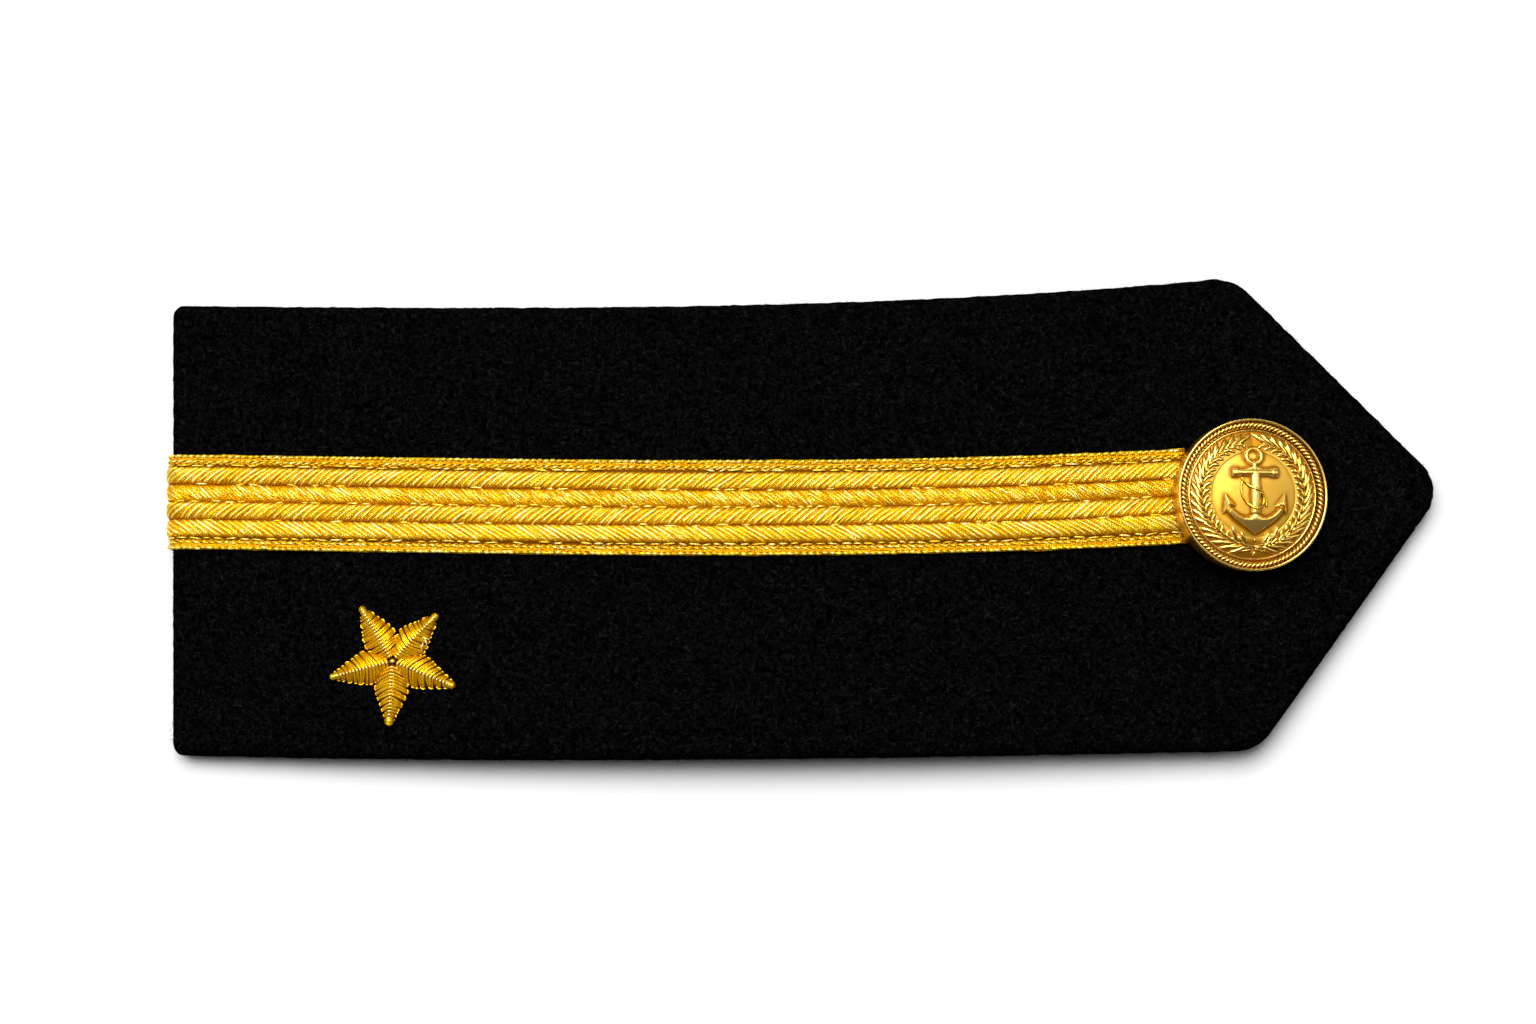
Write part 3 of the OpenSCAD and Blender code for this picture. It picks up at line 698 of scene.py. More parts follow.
def lace_ribs(sizes):
    """Gilt threads over the four ribs: one raised, two finer, slanting first one way and then the other."""
    heap, rng = Heap(), np.random.default_rng(11)
    # Rib from the top down: slant and its spread in degrees, share of the pitch
    ribs = ((39, 1.4, 1.0), (41, 4.5, 0.72), (40, 1.8, 1.05), (34, 1.4, 1.1))
    for rib, (slant, spread, share) in enumerate(ribs):
        middle, lean = RIB_W * (1.5 - rib), 1 if rib % 2 == 0 else -1
        # Every third thread is a raised one
        pitch = sizes.thread_pitch / MM * share / 3
        count = int(WAY_LEN / pitch)
        place = np.arange(count) * pitch
        raised = np.arange(count) % 3 == 0
        # Where each thread begins and ends: -1 and 1 are the edges of its rib
        low = np.where(raised, rng.uniform(-0.92, -0.65, count), -rng.uniform(0.86, 0.95, count))
        high = np.where(raised, 0.93, rng.uniform(0.86, 0.95, count))
        if rib == 1:
            # The second rib is worn: its raised threads are finer and show only in part
            low = np.where(raised, rng.uniform(-0.9, 0.0, count), low)
            high = np.where(raised, np.minimum(0.93, low + rng.uniform(0.7, 1.5, count)), high)
        low, high, over = low[:, None], high[:, None], raised[:, None]
        t = low + (high - low) * np.linspace(0, 1, 9)
        angle = slant + 2 * ripple(place, 0, 6, 70 + rib) + rng.normal(0, spread, count)
        run = RIB_W / 2 / np.tan(np.radians(angle))[:, None]
        bend = (0.16 + 0.05 * ripple(place, 0, 5, 80 + rib) + rng.normal(0, 0.02, count))[:, None]
        s = (place + rng.normal(0, 0.02, count))[:, None] - lean * (run * t + bend * (t ** 2 - 0.4))
        s = np.clip(s, 0.2, WAY_LEN - 0.1)
        v = middle + t * RIB_W / 2
        h = rib_height(middle + np.clip(t, -0.999, 0.999) * RIB_W / 2) - 0.12
        h += rng.normal(0, 0.01, (count, 1)) + np.where(over, 0.09, 0.0)
        # A raised thread dips at both ends, and is painted darker there as shade
        ends = np.clip((t - high + 0.25) / 0.25, 0, 1) ** 2 + np.clip((low + 0.25 - t) / 0.25, 0, 1) ** 2
        h -= np.where(over, 0.14 * ends, 0)
        bold = 0.135 if rib == 1 else 0.165
        thick = np.where(raised, rng.normal(bold, 0.012, count), rng.normal(0.098, 0.005, count))
        # Raised threads are painted lighter, as painted highlight, and the finer threads darker, as painted
        # shade
        tone = np.where(raised, rng.uniform(0.15, 0.42, count), rng.uniform(-0.2, 0.05, count))
        strands(heap, on_lace(s, v, h), thick[:, None], 5, lace_normal(s), tone[:, None] - 0.3 * ends, 0.2)
    return heap


def lace_dashes():
    """Binding threads that run along the grooves, seen as short stitches with dark holes between them."""
    heap, rng = Heap(), np.random.default_rng(12)
    t = np.linspace(-1, 1, 7)
    # Groove from the top down: across, and share of its stitches that show
    grooves = ((2 * RIB_W + 0.2, 0.75), (RIB_W + 0.05, 0.4), (0.1, 0.7), (-RIB_W, 0.35),
               (-2 * RIB_W - 0.12, 0.9))
    for across, share in grooves:
        at = 0.6
        while at < WAY_LEN - 2:
            length = rng.uniform(0.8, 1.7)
            if rng.random() < share:
                s = at + length * (t + 1) / 2
                v = across + rng.normal(0, 0.05) + rng.normal(0, 0.05) * t
                h = 0.58 - 0.2 * t ** 4 + rng.normal(0, 0.03)
                thick = rng.uniform(0.1, 0.15) * (1 - 0.4 * t ** 4)
                strands(heap, on_lace(s, v, h), thick, 6, lace_normal(s), rng.uniform(0.1, 0.4), 0.2)
            at += length + rng.uniform(0.2, 0.6)
    return heap


def lace_selvage(sizes):
    """Each edge of the lace: two rows of oval stitches, finer rows under them and threads along it."""
    heap, rng = Heap(), np.random.default_rng(13)
    t = np.linspace(-1, 1, 7)
    # Row of stitches: inset, thickness, height, share of the pitch, slant
    rows = ((0.31, 0.25, 0.74, 1.02, 0.06), (0.5, 0.13, 0.56, 1.02, -0.2), (1.0, 0.17, 0.66, 1.2, 0.12),
            (1.25, 0.1, 0.5, 0.9, -0.1))
    # Thread along the edge: inset and height
    threads = ((0.16, 0.2), (0.56, 0.4), (0.68, 0.42), (0.8, 0.42), (1.14, 0.38))
    for side in (-1, 1):
        for inset, thick, top, step, swing in rows:
            pitch = sizes.bead_pitch / MM * step
            at = 0.3 + np.cumsum(rng.normal(pitch, 0.1 * pitch, int(WAY_LEN / pitch)))
            at = at[at < WAY_LEN - 0.6, None]
            n = len(at)
            s = at + pitch * rng.uniform(0.4, 0.52, (n, 1)) * t
            v = side * (LACE_W / 2 - inset - swing * t) + rng.normal(0, 0.025, (n, 1))
            h = top - thick + rng.normal(0, 0.025, (n, 1)) - 0.16 * t ** 2
            radius = thick * rng.uniform(0.85, 1.08, (n, 1)) * (1 - 0.55 * t ** 2)
            # The lower rows are painted darker, as shade
            tone = rng.uniform(-0.05, 0.35, (n, 1)) if top > 0.6 else -0.15
            strands(heap, on_lace(s, v, h), radius, 6, lace_normal(s), tone, 0.25)
        s = np.arange(0.2, WAY_LEN - 0.1, 0.5)
        for inset, h in threads:
            v = side * (LACE_W / 2 - inset) + 0.03 * ripple(s, 0, 4, int(100 * inset))
            strands(heap, on_lace(s, v, h), 0.07, 5, lace_normal(s), 0.0)
    return heap


# Star

# The wires of a ray lean towards its tip, by a share of its half width on its left and on its right
Ray = namedtuple("Ray", "angle length cap_len cap_r lean_left lean_right")
STAR_RAYS = [
    Ray(46.7, 8.00, 1.9, 0.48, 0.28, 0.42),
    Ray(121.5, 7.95, 1.7, 0.46, 0.12, 0.25),
    Ray(194.5, 8.15, 1.4, 0.45, 0.30, 0.60),
    Ray(267.2, 8.05, 1.35, 0.58, 0.45, 0.55),
    Ray(338.0, 8.40, 1.4, 0.50, 0.65, 0.45),
]
# The rays meet a little off the middle of the padding
STAR_MIDDLE = (STAR_AT[0] + 0.36, STAR_AT[1] - 0.04)
# A ray is a leaf, pinched at the middle of the star: half widths at shares of its length
RAY_SHARES = [0.0, 0.07, 0.14, 0.24, 0.33, 0.41, 0.5, 0.62, 0.74, 0.85, 0.93, 1.0]
RAY_WIDTHS = [0.3, 0.75, 1.2, 1.65, 1.95, 2.12, 1.95, 1.52, 1.1, 0.7, 0.52, 0.42]


def half_width(share):
    """Half width of a ray at a share of its length."""
    return np.interp(share, RAY_SHARES, RAY_WIDTHS)


def on_star(ahead, out, ray_angle, z):
    """Points on one ray: ahead along it, out to its left, z above the cloth."""
    a = math.radians(ray_angle)
    x = STAR_MIDDLE[0] + ahead * math.cos(a) - out * math.sin(a)
    y = STAR_MIDDLE[1] + ahead * math.sin(a) + out * math.cos(a)
    return np.stack([x, y, cloth_height(x) + GAP + z], -1)


def star_ridge(share):
    """Height of the wires over the padding along a ray, lowest at the tip and where the rays meet."""
    return (1.35 - 0.5 * share) * (1 - 0.3 * np.exp(-(share / 0.09) ** 2))


def star_side(t):
    """Share of the ridge's height across a ray: a roof that drops steeply at its edges."""
    return 1.05 - 0.52 * np.hypot(t, 0.1) - 0.45 * np.abs(t) ** 6


def half_wires(heap, rng, ray, ridge, side, across):
    """The half of each wire from the ridge to one edge: ahead, out and height at shares across it.

    Two to five wires end together, and the small loop in which they turn back is added here.
    """
    lean = ray.lean_left if side > 0 else ray.lean_right
    half = half_width(ridge / ray.length)
    for _ in range(3):
        half = half_width((ridge + lean * half) / ray.length)
    count = len(ridge)
    group = np.searchsorted(np.cumsum(rng.integers(2, 6, count)), np.arange(count), side="right")
    lag, reach = lean * half, half.copy()
    turn = np.linspace(-np.pi / 2, np.pi / 2, 7)
    for g in np.unique(group):
        own = np.where(group == g)[0]
        spot = (ridge + lag)[own]
        middle, wide = spot.mean(), 0.36 * (spot.max() - spot.min()) + 0.03
        lag[own] += 0.3 * (middle - spot)
        reach[own] = half[own].mean() - 0.02 - 0.3 * (middle - spot) ** 2 + rng.normal(0, 0.02, len(own))
        out = reach[own].mean() - 0.08 + (0.1 + 0.35 * wide) * np.cos(turn)
        loop = on_star(middle + wide * np.sin(turn), side * out, ray.angle, 0.24 + 0.04 * np.cos(turn))
        strands(heap, loop, 0.1, 6, UP, rng.uniform(-0.15, 0.2), 0.2)
    z = 0.05 + (star_ridge(ridge / ray.length)[:, None] - 0.05) * star_side(across)
    return ridge[:, None] + lag[:, None] * across ** 1.3, side * reach[:, None] * across, z


def ray_wires(heap, rng, ray, ridge):
    """The wires laid over one ray, each from its right edge over the ridge to its left edge."""
    t = np.linspace(-1, 1, 17)
    halves = [half_wires(heap, rng, ray, ridge, side, np.sin(np.abs(t[t * side >= 0]) * np.pi / 2))
              for side in (-1, 1)]
    ahead, out, z = (np.concatenate([a, b[:, 1:]], 1) for a, b in zip(*halves))
    count = len(ridge)
    z = z + rng.normal(0, 0.025, (count, 1))
    thick = np.clip(rng.normal(0.103, 0.006, (count, 1)), 0.09, 0.115)
    even = np.arange(count) % 2 == 0
    # Every other wire is lighter, and the wires are painted darker towards the ray's edges, as shade
    tone = np.where(even, rng.uniform(0.05, 0.3, count), rng.uniform(-0.2, 0.05, count))[:, None]
    strands(heap, on_star(ahead, out, ray.angle, z), thick, 6, UP, tone - 0.15 * np.abs(t) ** 3, 0.15)


def ridge_beads(heap, rng, ray, ridge, body):
    """Beads where each pair of wires crosses the ridge, and on to the cap, with a strong painted highlight
    along their tops.
    """
    q = np.linspace(-1, 1, 7)
    place = (ridge[:-1:2] + ridge[1::2][:len(ridge[:-1:2])]) / 2
    place = np.concatenate([place, np.arange(body + 0.3, ray.length - 0.4, 0.42)])[:, None]
    n = len(place)
    wide = rng.uniform(0.16, 0.24, (n, 1))
    z = star_ridge(place / ray.length) + 0.1 - 0.12 * q ** 2
    round_r = rng.uniform(0.12, 0.145, (n, 1)) * np.sqrt(1.06 - q ** 2)
    bent = place + wide * np.abs(q) * np.where(q > 0, ray.lean_left, ray.lean_right)
    strands(heap, on_star(bent, wide * q, ray.angle, z), round_r, 8, UP, 0.1, 0.85)


def ray_cap(heap, ray):
    """The cap on the tip, a few turns of coil with rounded ends."""
    half, turn = ray.cap_len / 2, 0.42
    q = np.linspace(-1, 1, 40)
    round_part = np.maximum(0, np.abs(q) - 1 + ray.cap_r / half) * half / ray.cap_r
    coil = 1 + 0.06 * np.cos(q * half * 2 * np.pi / turn)
    radius = ray.cap_r * np.sqrt(np.maximum(0.02, 1 - round_part ** 2)) * coil
    path = on_star(ray.length - half + q * half, 0 * q, ray.angle, 0.5 - 0.04 * q)
    strands(heap, path, radius, 16, UP, 0.0, 0.25)


def star_wires(sizes):
    """Gilt wire laid to and fro over the padding of each ray. It turns back in small loops at the edges."""
    heap, rng = Heap(), np.random.default_rng(21)
    count, first = sizes.star_wires, 0.6
    k = np.arange(count)
    for ray in STAR_RAYS:
        body = ray.length - 0.7 * ray.cap_len
        # Where the wires cross the ridge, in pairs
        ridge = first + (body - first) / (count - 1) * (k + 0.12 * (-1.0) ** k) + rng.normal(0, 0.01, count)
        ray_wires(heap, rng, ray, ridge)
        ridge_beads(heap, rng, ray, ridge, body)
        ray_cap(heap, ray)
    # A bead of coiled wire where the rays meet
    q = np.linspace(-1, 1, 9)
    strands(heap, on_star(0.3 * q, 0 * q, 0, 1.0 + 0 * q), 0.26 * np.sqrt(1.05 - q ** 2), 10, UP, 0.3, 0.5)
    # Three slack wires on the upper right ray: ahead and out at both ends, and height
    slack = (((4.3, -0.9), (3.4, -1.9), 0.5), ((4.1, -1.7), (5.0, -1.1), 0.5),
             ((5.2, -1.4), (4.5, -0.7), 0.6))
    for start, stop, lift in slack:
        ahead, out = (start[i] + (stop[i] - start[i]) * (q + 1) / 2 for i in (0, 1))
        bent = on_star(ahead, out + 0.15 * np.sin(q * 3), STAR_RAYS[0].angle, lift + 0.35 * (1 - q ** 2))
        strands(heap, bent, 0.1, 6, UP, 0.4, 0.4)
    return heap


def star_padding():
    """The felt and card under the wires."""
    heap = Heap()
    share, t = np.linspace(0.0, 0.9, 24)[:, None], np.linspace(-1, 1, 15)
    for ray in STAR_RAYS:
        half = half_width(share) * 0.84
        ahead = np.minimum(share * ray.length + 0.3 * half * np.abs(t), ray.length - 0.8)
        z = 0.02 + (star_ridge(share) - 0.24) * star_side(t)
        under = on_star(ahead[:, ::-1], half * t[::-1], ray.angle, 0 * z)
        section = np.concatenate([on_star(ahead, half * t, ray.angle, z), under], 1)
        # The padding is painted dark, as shade in the gaps between the wires
        heap.add(section, bar_faces(*section.shape[:2]), tone=0.1)
    return heap


# Button

FIELD_R = 7.85
FIELD_Z = RIM_TOP - 0.6
DOME_R = (FIELD_R ** 2 + DOME_RISE ** 2) / (2 * DOME_RISE)
ROPE_R = 8.7
LINE_R = 8.0
STEM_R = 6.5


def dome(r):
    """Height of the plain domed field at radius r."""
    return FIELD_Z + DOME_RISE - DOME_R + np.sqrt(DOME_R ** 2 - np.minimum(r, FIELD_R) ** 2)


def shell_profile():
    """The skirt, its thin rolled rim, the channel under the rope border and the ring round the field."""
    wall, base, inner = BUTTON_R, BUTTON_BASE_R, BUTTON_R - SHEET - 0.05
    return np.concatenate([
        [[base - 1.0, 0.4], [base - 1.0, 0.0]],
        arc(base - 0.4, 0.3, 0.3, -90, -20, 5),
        [[wall - 0.16, 0.7], [wall - 0.06, 1.3], [wall - 0.05, 2.2], [wall - 0.06, 3.2]],
        arc(wall - 0.17, RIM_TOP - 0.17, 0.17, -20, 200, 18),
        [[wall - 0.36, FIELD_Z + 0.15], [wall - 0.42, FIELD_Z], [LINE_R + 0.2, FIELD_Z - 0.02]],
        arc(LINE_R, FIELD_Z + 0.06, 0.13, -10, 175, 8),
        [[FIELD_R - 0.1, FIELD_Z - SHEET], [inner, FIELD_Z - SHEET], [inner, 1.3], [base - 0.5, 0.4]],
    ])


def button_rim():
    """The profile of the shell, closed on itself and turned round the button's axis."""
    steps = 192
    r, z = shell_profile().T
    # The shell is painted paler towards its top, as painted highlight on the rolled rim, and darker on the
    # skirt and in the channel under the rope, as painted shade
    painted_light_and_polish = np.clip((z - 2.4) / 1.2, 0.25, 0.9)
    painted_light_and_polish[(r > LINE_R + 0.15) & (r < BUTTON_R - 0.3)] = 0.1
    a = np.linspace(0, 2 * np.pi, steps, endpoint=False)
    x, y, z = np.broadcast_arrays(r[:, None] * np.cos(a), r[:, None] * np.sin(a), z[:, None])
    faces = grid_faces(len(r), steps, True, True)
    return Heap().add(at_button(np.stack([x, y, z], -1)), [faces], tone=np.repeat(painted_light_and_polish, steps))


def on_face(r, degrees, z):
    """Points on the button's face at radius r, z above the plain dome."""
    r, a, z = np.broadcast_arrays(r, np.radians(degrees), z)
    return at_button(np.stack([r * np.cos(a), r * np.sin(a), dome(r) + z], -1))


def rope_border(sizes):
    """A laid rope round the field, just inside the rim. Each strand shows as a short slanting stroke."""
    heap, q = Heap(), np.linspace(-1, 1, 7)
    a = np.arange(sizes.rope_strands)[:, None] * 360 / sizes.rope_strands + np.degrees(0.4 * q / ROPE_R)
    path = on_face(ROPE_R - 0.32 * q, a, 0.16 + 0.2 * (1 - q ** 2))
    strands(heap, path, 0.2 * (1 - 0.3 * q ** 2), 6, UP, 0.35, 0.8)
    return heap


def wreath():
    """Two branches of laurel with slim leaves that point forward, tied at the bottom with cord."""
    heap, rng = Heap(), np.random.default_rng(41)
    q, ball = np.linspace(0, 1, 9), np.linspace(-1, 1, 7)
    spindle = np.sqrt(np.maximum(0.02, 1 - np.abs(2 * q - 0.9) ** 2.2 / 1.1 ** 2.2))
    # Row of leaves: how many, first and last place in degrees from the tie, reach across and reach forward,
    # half width, height
    rows = (
        (19, 11, 168, 1.42, 1.7, 0.36, 0.08),
        (19, 15, 164, 0.9, 1.9, 0.23, 0.26),
        (19, 13, 167, -1.1, 1.0, 0.31, 0.06),
        (19, 10, 162, -0.5, 1.3, 0.22, 0.2),
    )
    # Two broad leaves under the anchor and the ends of the cord: radius and place at both ends, half width
    low_leaves = ((6.2, 9, 4.9, 21, 0.26), (6.0, 22, 4.8, 36, 0.26), (6.5, 2, 7.0, 22, 0.15),
                  (6.7, 1, 7.35, 18, 0.13), (6.4, 0, 6.3, 20, 0.13))
    for turn in (-1, 1):
        for count, first, last, reach, forward, half, lift in rows:
            place = np.linspace(first, last, count)[:, None] + rng.normal(0, 0.6, (count, 1))
            size = (1 - 0.2 * (place / 170) ** 3) * rng.uniform(0.93, 1.05, (count, 1))
            r = STEM_R + reach * size * q ** 0.85
            a = -90 + turn * (place + np.degrees(forward * size * q / STEM_R))
            tone = rng.uniform(0.0, 0.35, (count, 1))
            strands(heap, on_face(r, a, lift - 0.06 * q), half * size * spindle, 8, UP, tone, 0.8)
        strands(heap, on_face(STEM_R, -90 + turn * np.linspace(4, 168, 60), 0.14), 0.11, 6, UP, 0.6)
        for r0, a0, r1, a1, half in low_leaves:
            r, a = r0 + (r1 - r0) * q, -90 + turn * (a0 + (a1 - a0) * q)
            strands(heap, on_face(r, a, 0.16), half * spindle, 6, UP, 0.9)
    # The knot of the cord
    for r, size in ((5.62, 0.16), (7.25, 0.34)):
        x = 0.9 * size * ball
        knot = on_face(np.hypot(x, r), -90 + np.degrees(np.arctan2(x, r)), 0.1)
        strands(heap, knot, size * np.sqrt(1.05 - ball ** 2), 10, UP, 0.8)
    return heap


def cable():
    """The laid cable that fouls the anchor: two ropes that hang from the stock and cross the shank."""
    heap, along = Heap(), np.linspace(0, 1, 40)
    # Bends of each rope as middle, radius, first and last angle
    for bends in (((1.42, 3.94, 3.63, 212, 257), (-0.52, -1.20, 1.94, 58, -9)),
                  ((0.88, 0.71, 2.63, 160, 253), (-0.01, -0.69, 1.11, -90, 55))):
        way = np.concatenate([arc(*bend, 30) for bend in bends])
        x, y = (np.interp(along, np.linspace(0, 1, len(way)), values) for values in way.T)
        z = 0.1 + 0.95 * anchor_relief(x, y)
        # The rope is too stiff to follow every step of the anchor
        for _ in range(3):
            z = np.convolve(np.pad(z, 2, "edge"), np.ones(5) / 5, "valid")
        lay = 0.19 * (1 + 0.05 * np.cos(along * 2 * np.pi * 16))
        strands(heap, on_face(np.hypot(x, y), np.degrees(np.arctan2(y, x)), z), lay, 8, UP, 0.3, 0.4)
    return heap


def off_line(x, y, line):
    """Distance from each point to a line of straight stretches."""
    near = np.full(np.shape(x), np.inf)
    for (ax, ay), (bx, by) in zip(line[:-1], line[1:]):
        dx, dy = bx - ax, by - ay
        t = np.clip(((x - ax) * dx + (y - ay) * dy) / (dx * dx + dy * dy), 0, 1)
        near = np.minimum(near, np.hypot(x - ax - t * dx, y - ay - t * dy))
    return near


def inside(x, y, corners):
    """How far each point is inside an outline. Negative outside."""
    within = np.zeros(np.shape(x), bool)
    for (ax, ay), (bx, by) in zip(corners, corners[1:] + corners[:1]):
        if ay != by:
            within ^= ((ay > y) != (by > y)) & (x < ax + (bx - ax) * (y - ay) / (by - ay))
    deep = off_line(x, y, corners + corners[:1])
    return np.where(within, deep, -deep)


def round_over(offset):
    """Height of a rounded bar at an offset from its middle, both as shares of its half width."""
    return np.sqrt(np.clip(1 - offset ** 2, 0, 1))


def anchor_relief(x, y):
    """The anchor: ring, banded stock, shank, two curved arms that meet in a keel, and barbed flukes."""
    middle, stock_y = 0.05, 2.69
    side = np.abs(x - middle)
    ring = np.hypot(x, y - 4.74)
    raised = [0.4 * round_over((ring - 0.95) / 0.29), 0.05 * np.clip((0.5 - ring) / 0.15, 0, 1)]
    # Eye, shoulders, stock and shank: line, half width and height
    for line, half, height in (
        ([(0, 3.75), (0, 3.2)], 0.3, 0.42),
        ([(-0.75, 3.05), (0, 3.3), (0.75, 3.05)], 0.3, 0.36),
        ([(-2.0, stock_y), (2.0, stock_y)], 0.48, 0.5),
        ([(0.07, 2.6), (0.07, -2.2)], 0.64, 0.52),
    ):
        raised.append(height * round_over(off_line(x, y, line) / half))
    # The stock's ends and bands: place, half length, half width and height
    for place, reach, half, height in ((2.5, 0.47, 0.64, 0.56), (1.97, 0.12, 0.56, 0.54)):
        block = np.clip((reach - np.abs(side - place)) / 0.18, 0, 1)
        raised.append(height * np.sqrt(block) * round_over((y - stock_y) / half))
    # One arm, mirrored: its hollow is round and its keel a V
    hollow = [(0.0, -1.9), (0.35, -2.35), (0.85, -2.72), (1.45, -2.8), (2.1, -2.55), (2.65, -2.1),
              (3.05, -1.6)]
    keel = [(3.55, -2.2), (2.6, -3.2), (1.3, -4.1), (0.0, -4.97)]
    deep = inside(side, y, [(-0.3, -1.9)] + hollow + keel + [(-0.3, -4.97)])
    over, under = off_line(side, y, hollow), off_line(side, y, keel)
    crest = 0.35
    rise = round_over(1 - np.minimum(over / (over + under) / crest, 1))
    fall = 0.3 * np.maximum(0, over - crest * (over + under))
    raised.append(np.where(deep > 0, 0.55 * (rise - fall) * np.clip(deep / 0.12, 0, 1) ** 0.5, 0))
    # The fluke: a barbed head with a ridge from its point to the arm
    deep = inside(side, y, [(3.85, 0.2), (2.45, -1.5), (2.95, -1.55), (3.35, -2.05), (4.05, -2.45)])
    raised.append(np.where(deep > 0, 0.12 + 0.45 * np.clip(deep / 0.5, 0, 1), 0))
    return np.max(raised, axis=0)


def button_face():
    """The struck field as a closed sheet, with the anchor's relief worked out point by point."""
    rings, steps, shifts = 145, 480, (-3, 0, 3)
    r = FIELD_R * np.linspace(0.004, 1, rings)
    a = np.linspace(0, 2 * np.pi, steps, endpoint=False)
    x, y = r[:, None] * np.cos(a), r[:, None] * np.sin(a)
    raised = anchor_relief(x, y) * np.clip((FIELD_R - r[:, None]) / 0.12, 0, 1)
    # The wreath lies on a low swelling
    raised += 0.14 * round_over((r[:, None] - STEM_R - 0.1) / 1.3) * np.clip(np.abs(x) / 1.5, 0, 1)
    # Painted shade: the hollows beside the relief are darker; the raised relief is paler, as painted
    # highlight
    near, row = raised, np.arange(rings)
    for _ in range(3):
        near = sum(np.roll(near, k, 1) for k in shifts) / len(shifts)
        near = sum(near[np.clip(row + k, 0, rings - 1)] for k in shifts) / len(shifts)
    tone = np.clip(0.62 - (near - raised) / 0.09, 0, 1) + 0.35 * np.clip(raised / 0.35, 0, 1)
    # The gilding under the wreath is painted dark, as shade in the gaps between the leaves
    under_wreath = np.clip((r[:, None] - STEM_R + 1.1) / 0.5, 0, 1)
    tone = tone * (1 - under_wreath) + 0.2 * under_wreath
    skin = np.stack([x, y, dome(r)[:, None] + raised], -1)
    # The inner face is plain and has few rings
    back = slice(None, None, -33)
    x, y, z = np.broadcast_arrays(x[back], y[back], dome(r[back])[:, None] - SHEET)
    skin = np.concatenate([skin, np.stack([x, y, z], -1)])
    rows, k = len(skin), np.arange(steps)
    middles = [[0.0, 0.0, float(skin[0, :, 2].mean())], [0.0, 0.0, float(dome(0)) - SHEET]]
    k_next, last, middle = (k + 1) % steps, (rows - 1) * steps, np.full(steps, rows * steps)
    fans = [np.stack([middle, k, k_next], 1), np.stack([middle + 1, last + k_next, last + k], 1)]
    points = np.concatenate([skin.reshape(-1, 3), middles])
    tone = np.concatenate([tone.ravel(), np.full(len(points) - tone.size, 0.3)])
    return Heap().add(at_button(points), [grid_faces(rows, steps, True)[:, ::-1]] + fans, tone=tone)


# Sizes and colours

class BoardSizes(bpy.types.PropertyGroup):
    roll_depth: FloatProperty(name="Roll depth", description="How far the wool sinks inside the rolled edge",
                              default=0.00012, min=0, max=0.0005, unit="LENGTH")
    fibre_count: IntProperty(name="Fibres", description="Loose wool fibres on the cloth",
                             default=7000, min=0, max=8000)
    edge_fibre_count: IntProperty(name="Edge fibres", description="Short wool fibres round the rolled edge",
                                  default=4000, min=0, max=8000)
    thread_pitch: FloatProperty(name="Thread pitch", description="Between the raised threads of a rib",
                                default=0.00087, min=0.0006, max=0.0014, unit="LENGTH")
    bead_pitch: FloatProperty(name="Edge stitch", description="Between the stitches of the lace's edge",
                              default=0.0008, min=0.0005, max=0.0015, unit="LENGTH")
    star_wires: IntProperty(name="Star wires", description="Wires laid over each ray of the star",
                            default=32, min=12, max=50)
    rope_strands: IntProperty(name="Rope strands", description="Strokes of the rope border",
                              default=100, min=40, max=140)


def colour_prop(name, description, code):
    """A colour that the user can change, from its sRGB hex."""
    return FloatVectorProperty(name=name, description=description, default=hex_colour(code),
                               size=4, min=0, max=1, subtype="COLOR")


class BoardColours(bpy.types.PropertyGroup):
    wool_dark: colour_prop("Wool, deep", "Depth of the felted cloth", "#000000")
    wool_light: colour_prop("Wool, raised", "Raised fibres of the felted cloth", "#161716")
    fibre: colour_prop("Loose fibre", "Lightest loose fibre", "#2B2C2D")
    # Tarnish, and painted shade on the finer threads and the ends of the raised ones
    lace_dark: colour_prop("Lace, dull", "Tarnished thread of the lace", "#E29A04")
    lace_light: colour_prop("Lace, clean", "Gilt thread of the lace", "#FADE0A")
    # Painted highlight on the tops of the raised threads and in painted glints
    lace_painted_highlight: colour_prop("Lace, burnished", "Worn tops of the raised threads", "#FFFCCC")
    silk_light: colour_prop("Silk, light", "Ground of the lace", "#D88E06")
    # Painted shade: the ground's colour in the grooves and under the star's wires
    silk_dark: colour_prop("Silk, dark", "Depth of the ground of the lace", "#6A3E04")
    # Tarnish, and painted shade towards the edges of the rays
    bullion_dark: colour_prop("Bullion, dull", "Tarnished wire of the star", "#E49A02")
    bullion_light: colour_prop("Bullion, clean", "Wire of the star", "#FFDA06")
    # Painted highlight on the ridges of the star
    bullion_painted_highlight: colour_prop("Bullion, burnished", "Worn ridges of the star", "#FFF8B8")
    gilt_light: colour_prop("Gilding, bright", "Raised gilding of the button", "#F4BE1E")
    # Painted highlight on the wreath, the rope, the rim and the raised relief
    gilt_painted_highlight: colour_prop("Gilding, burnished", "Rubbed gilding of the wreath and rope", "#FFD468")
    gilt_satin: colour_prop("Gilding, satin", "Satin field of the button", "#DEAC36")
    # Painted shade in the hollows of the button, under the wreath and on the skirt
    gilt_dark: colour_prop("Gilding, deep", "Gilding in the hollows of the button", "#9E6602")
    brass: colour_prop("Brass", "Plain brass of the button's back and stud", "#C79A45")


# Operators

class SHOULDERBOARD_OT_cloth(bpy.types.Operator):
    """Cover the board in black melton wool"""
    bl_idname = "shoulderboard.cloth"
    bl_label = "Covered Board"

    def execute(self, context):
        scene = context.scene
        wool = melton_wool(scene.board_colours)
        made = make_piece("covered_board", board_shape(scene.board_sizes), wool, ["board"])
        weld(made)
        cut(made, end_recess())
        cut(made, stud_well())
        return {"FINISHED"}


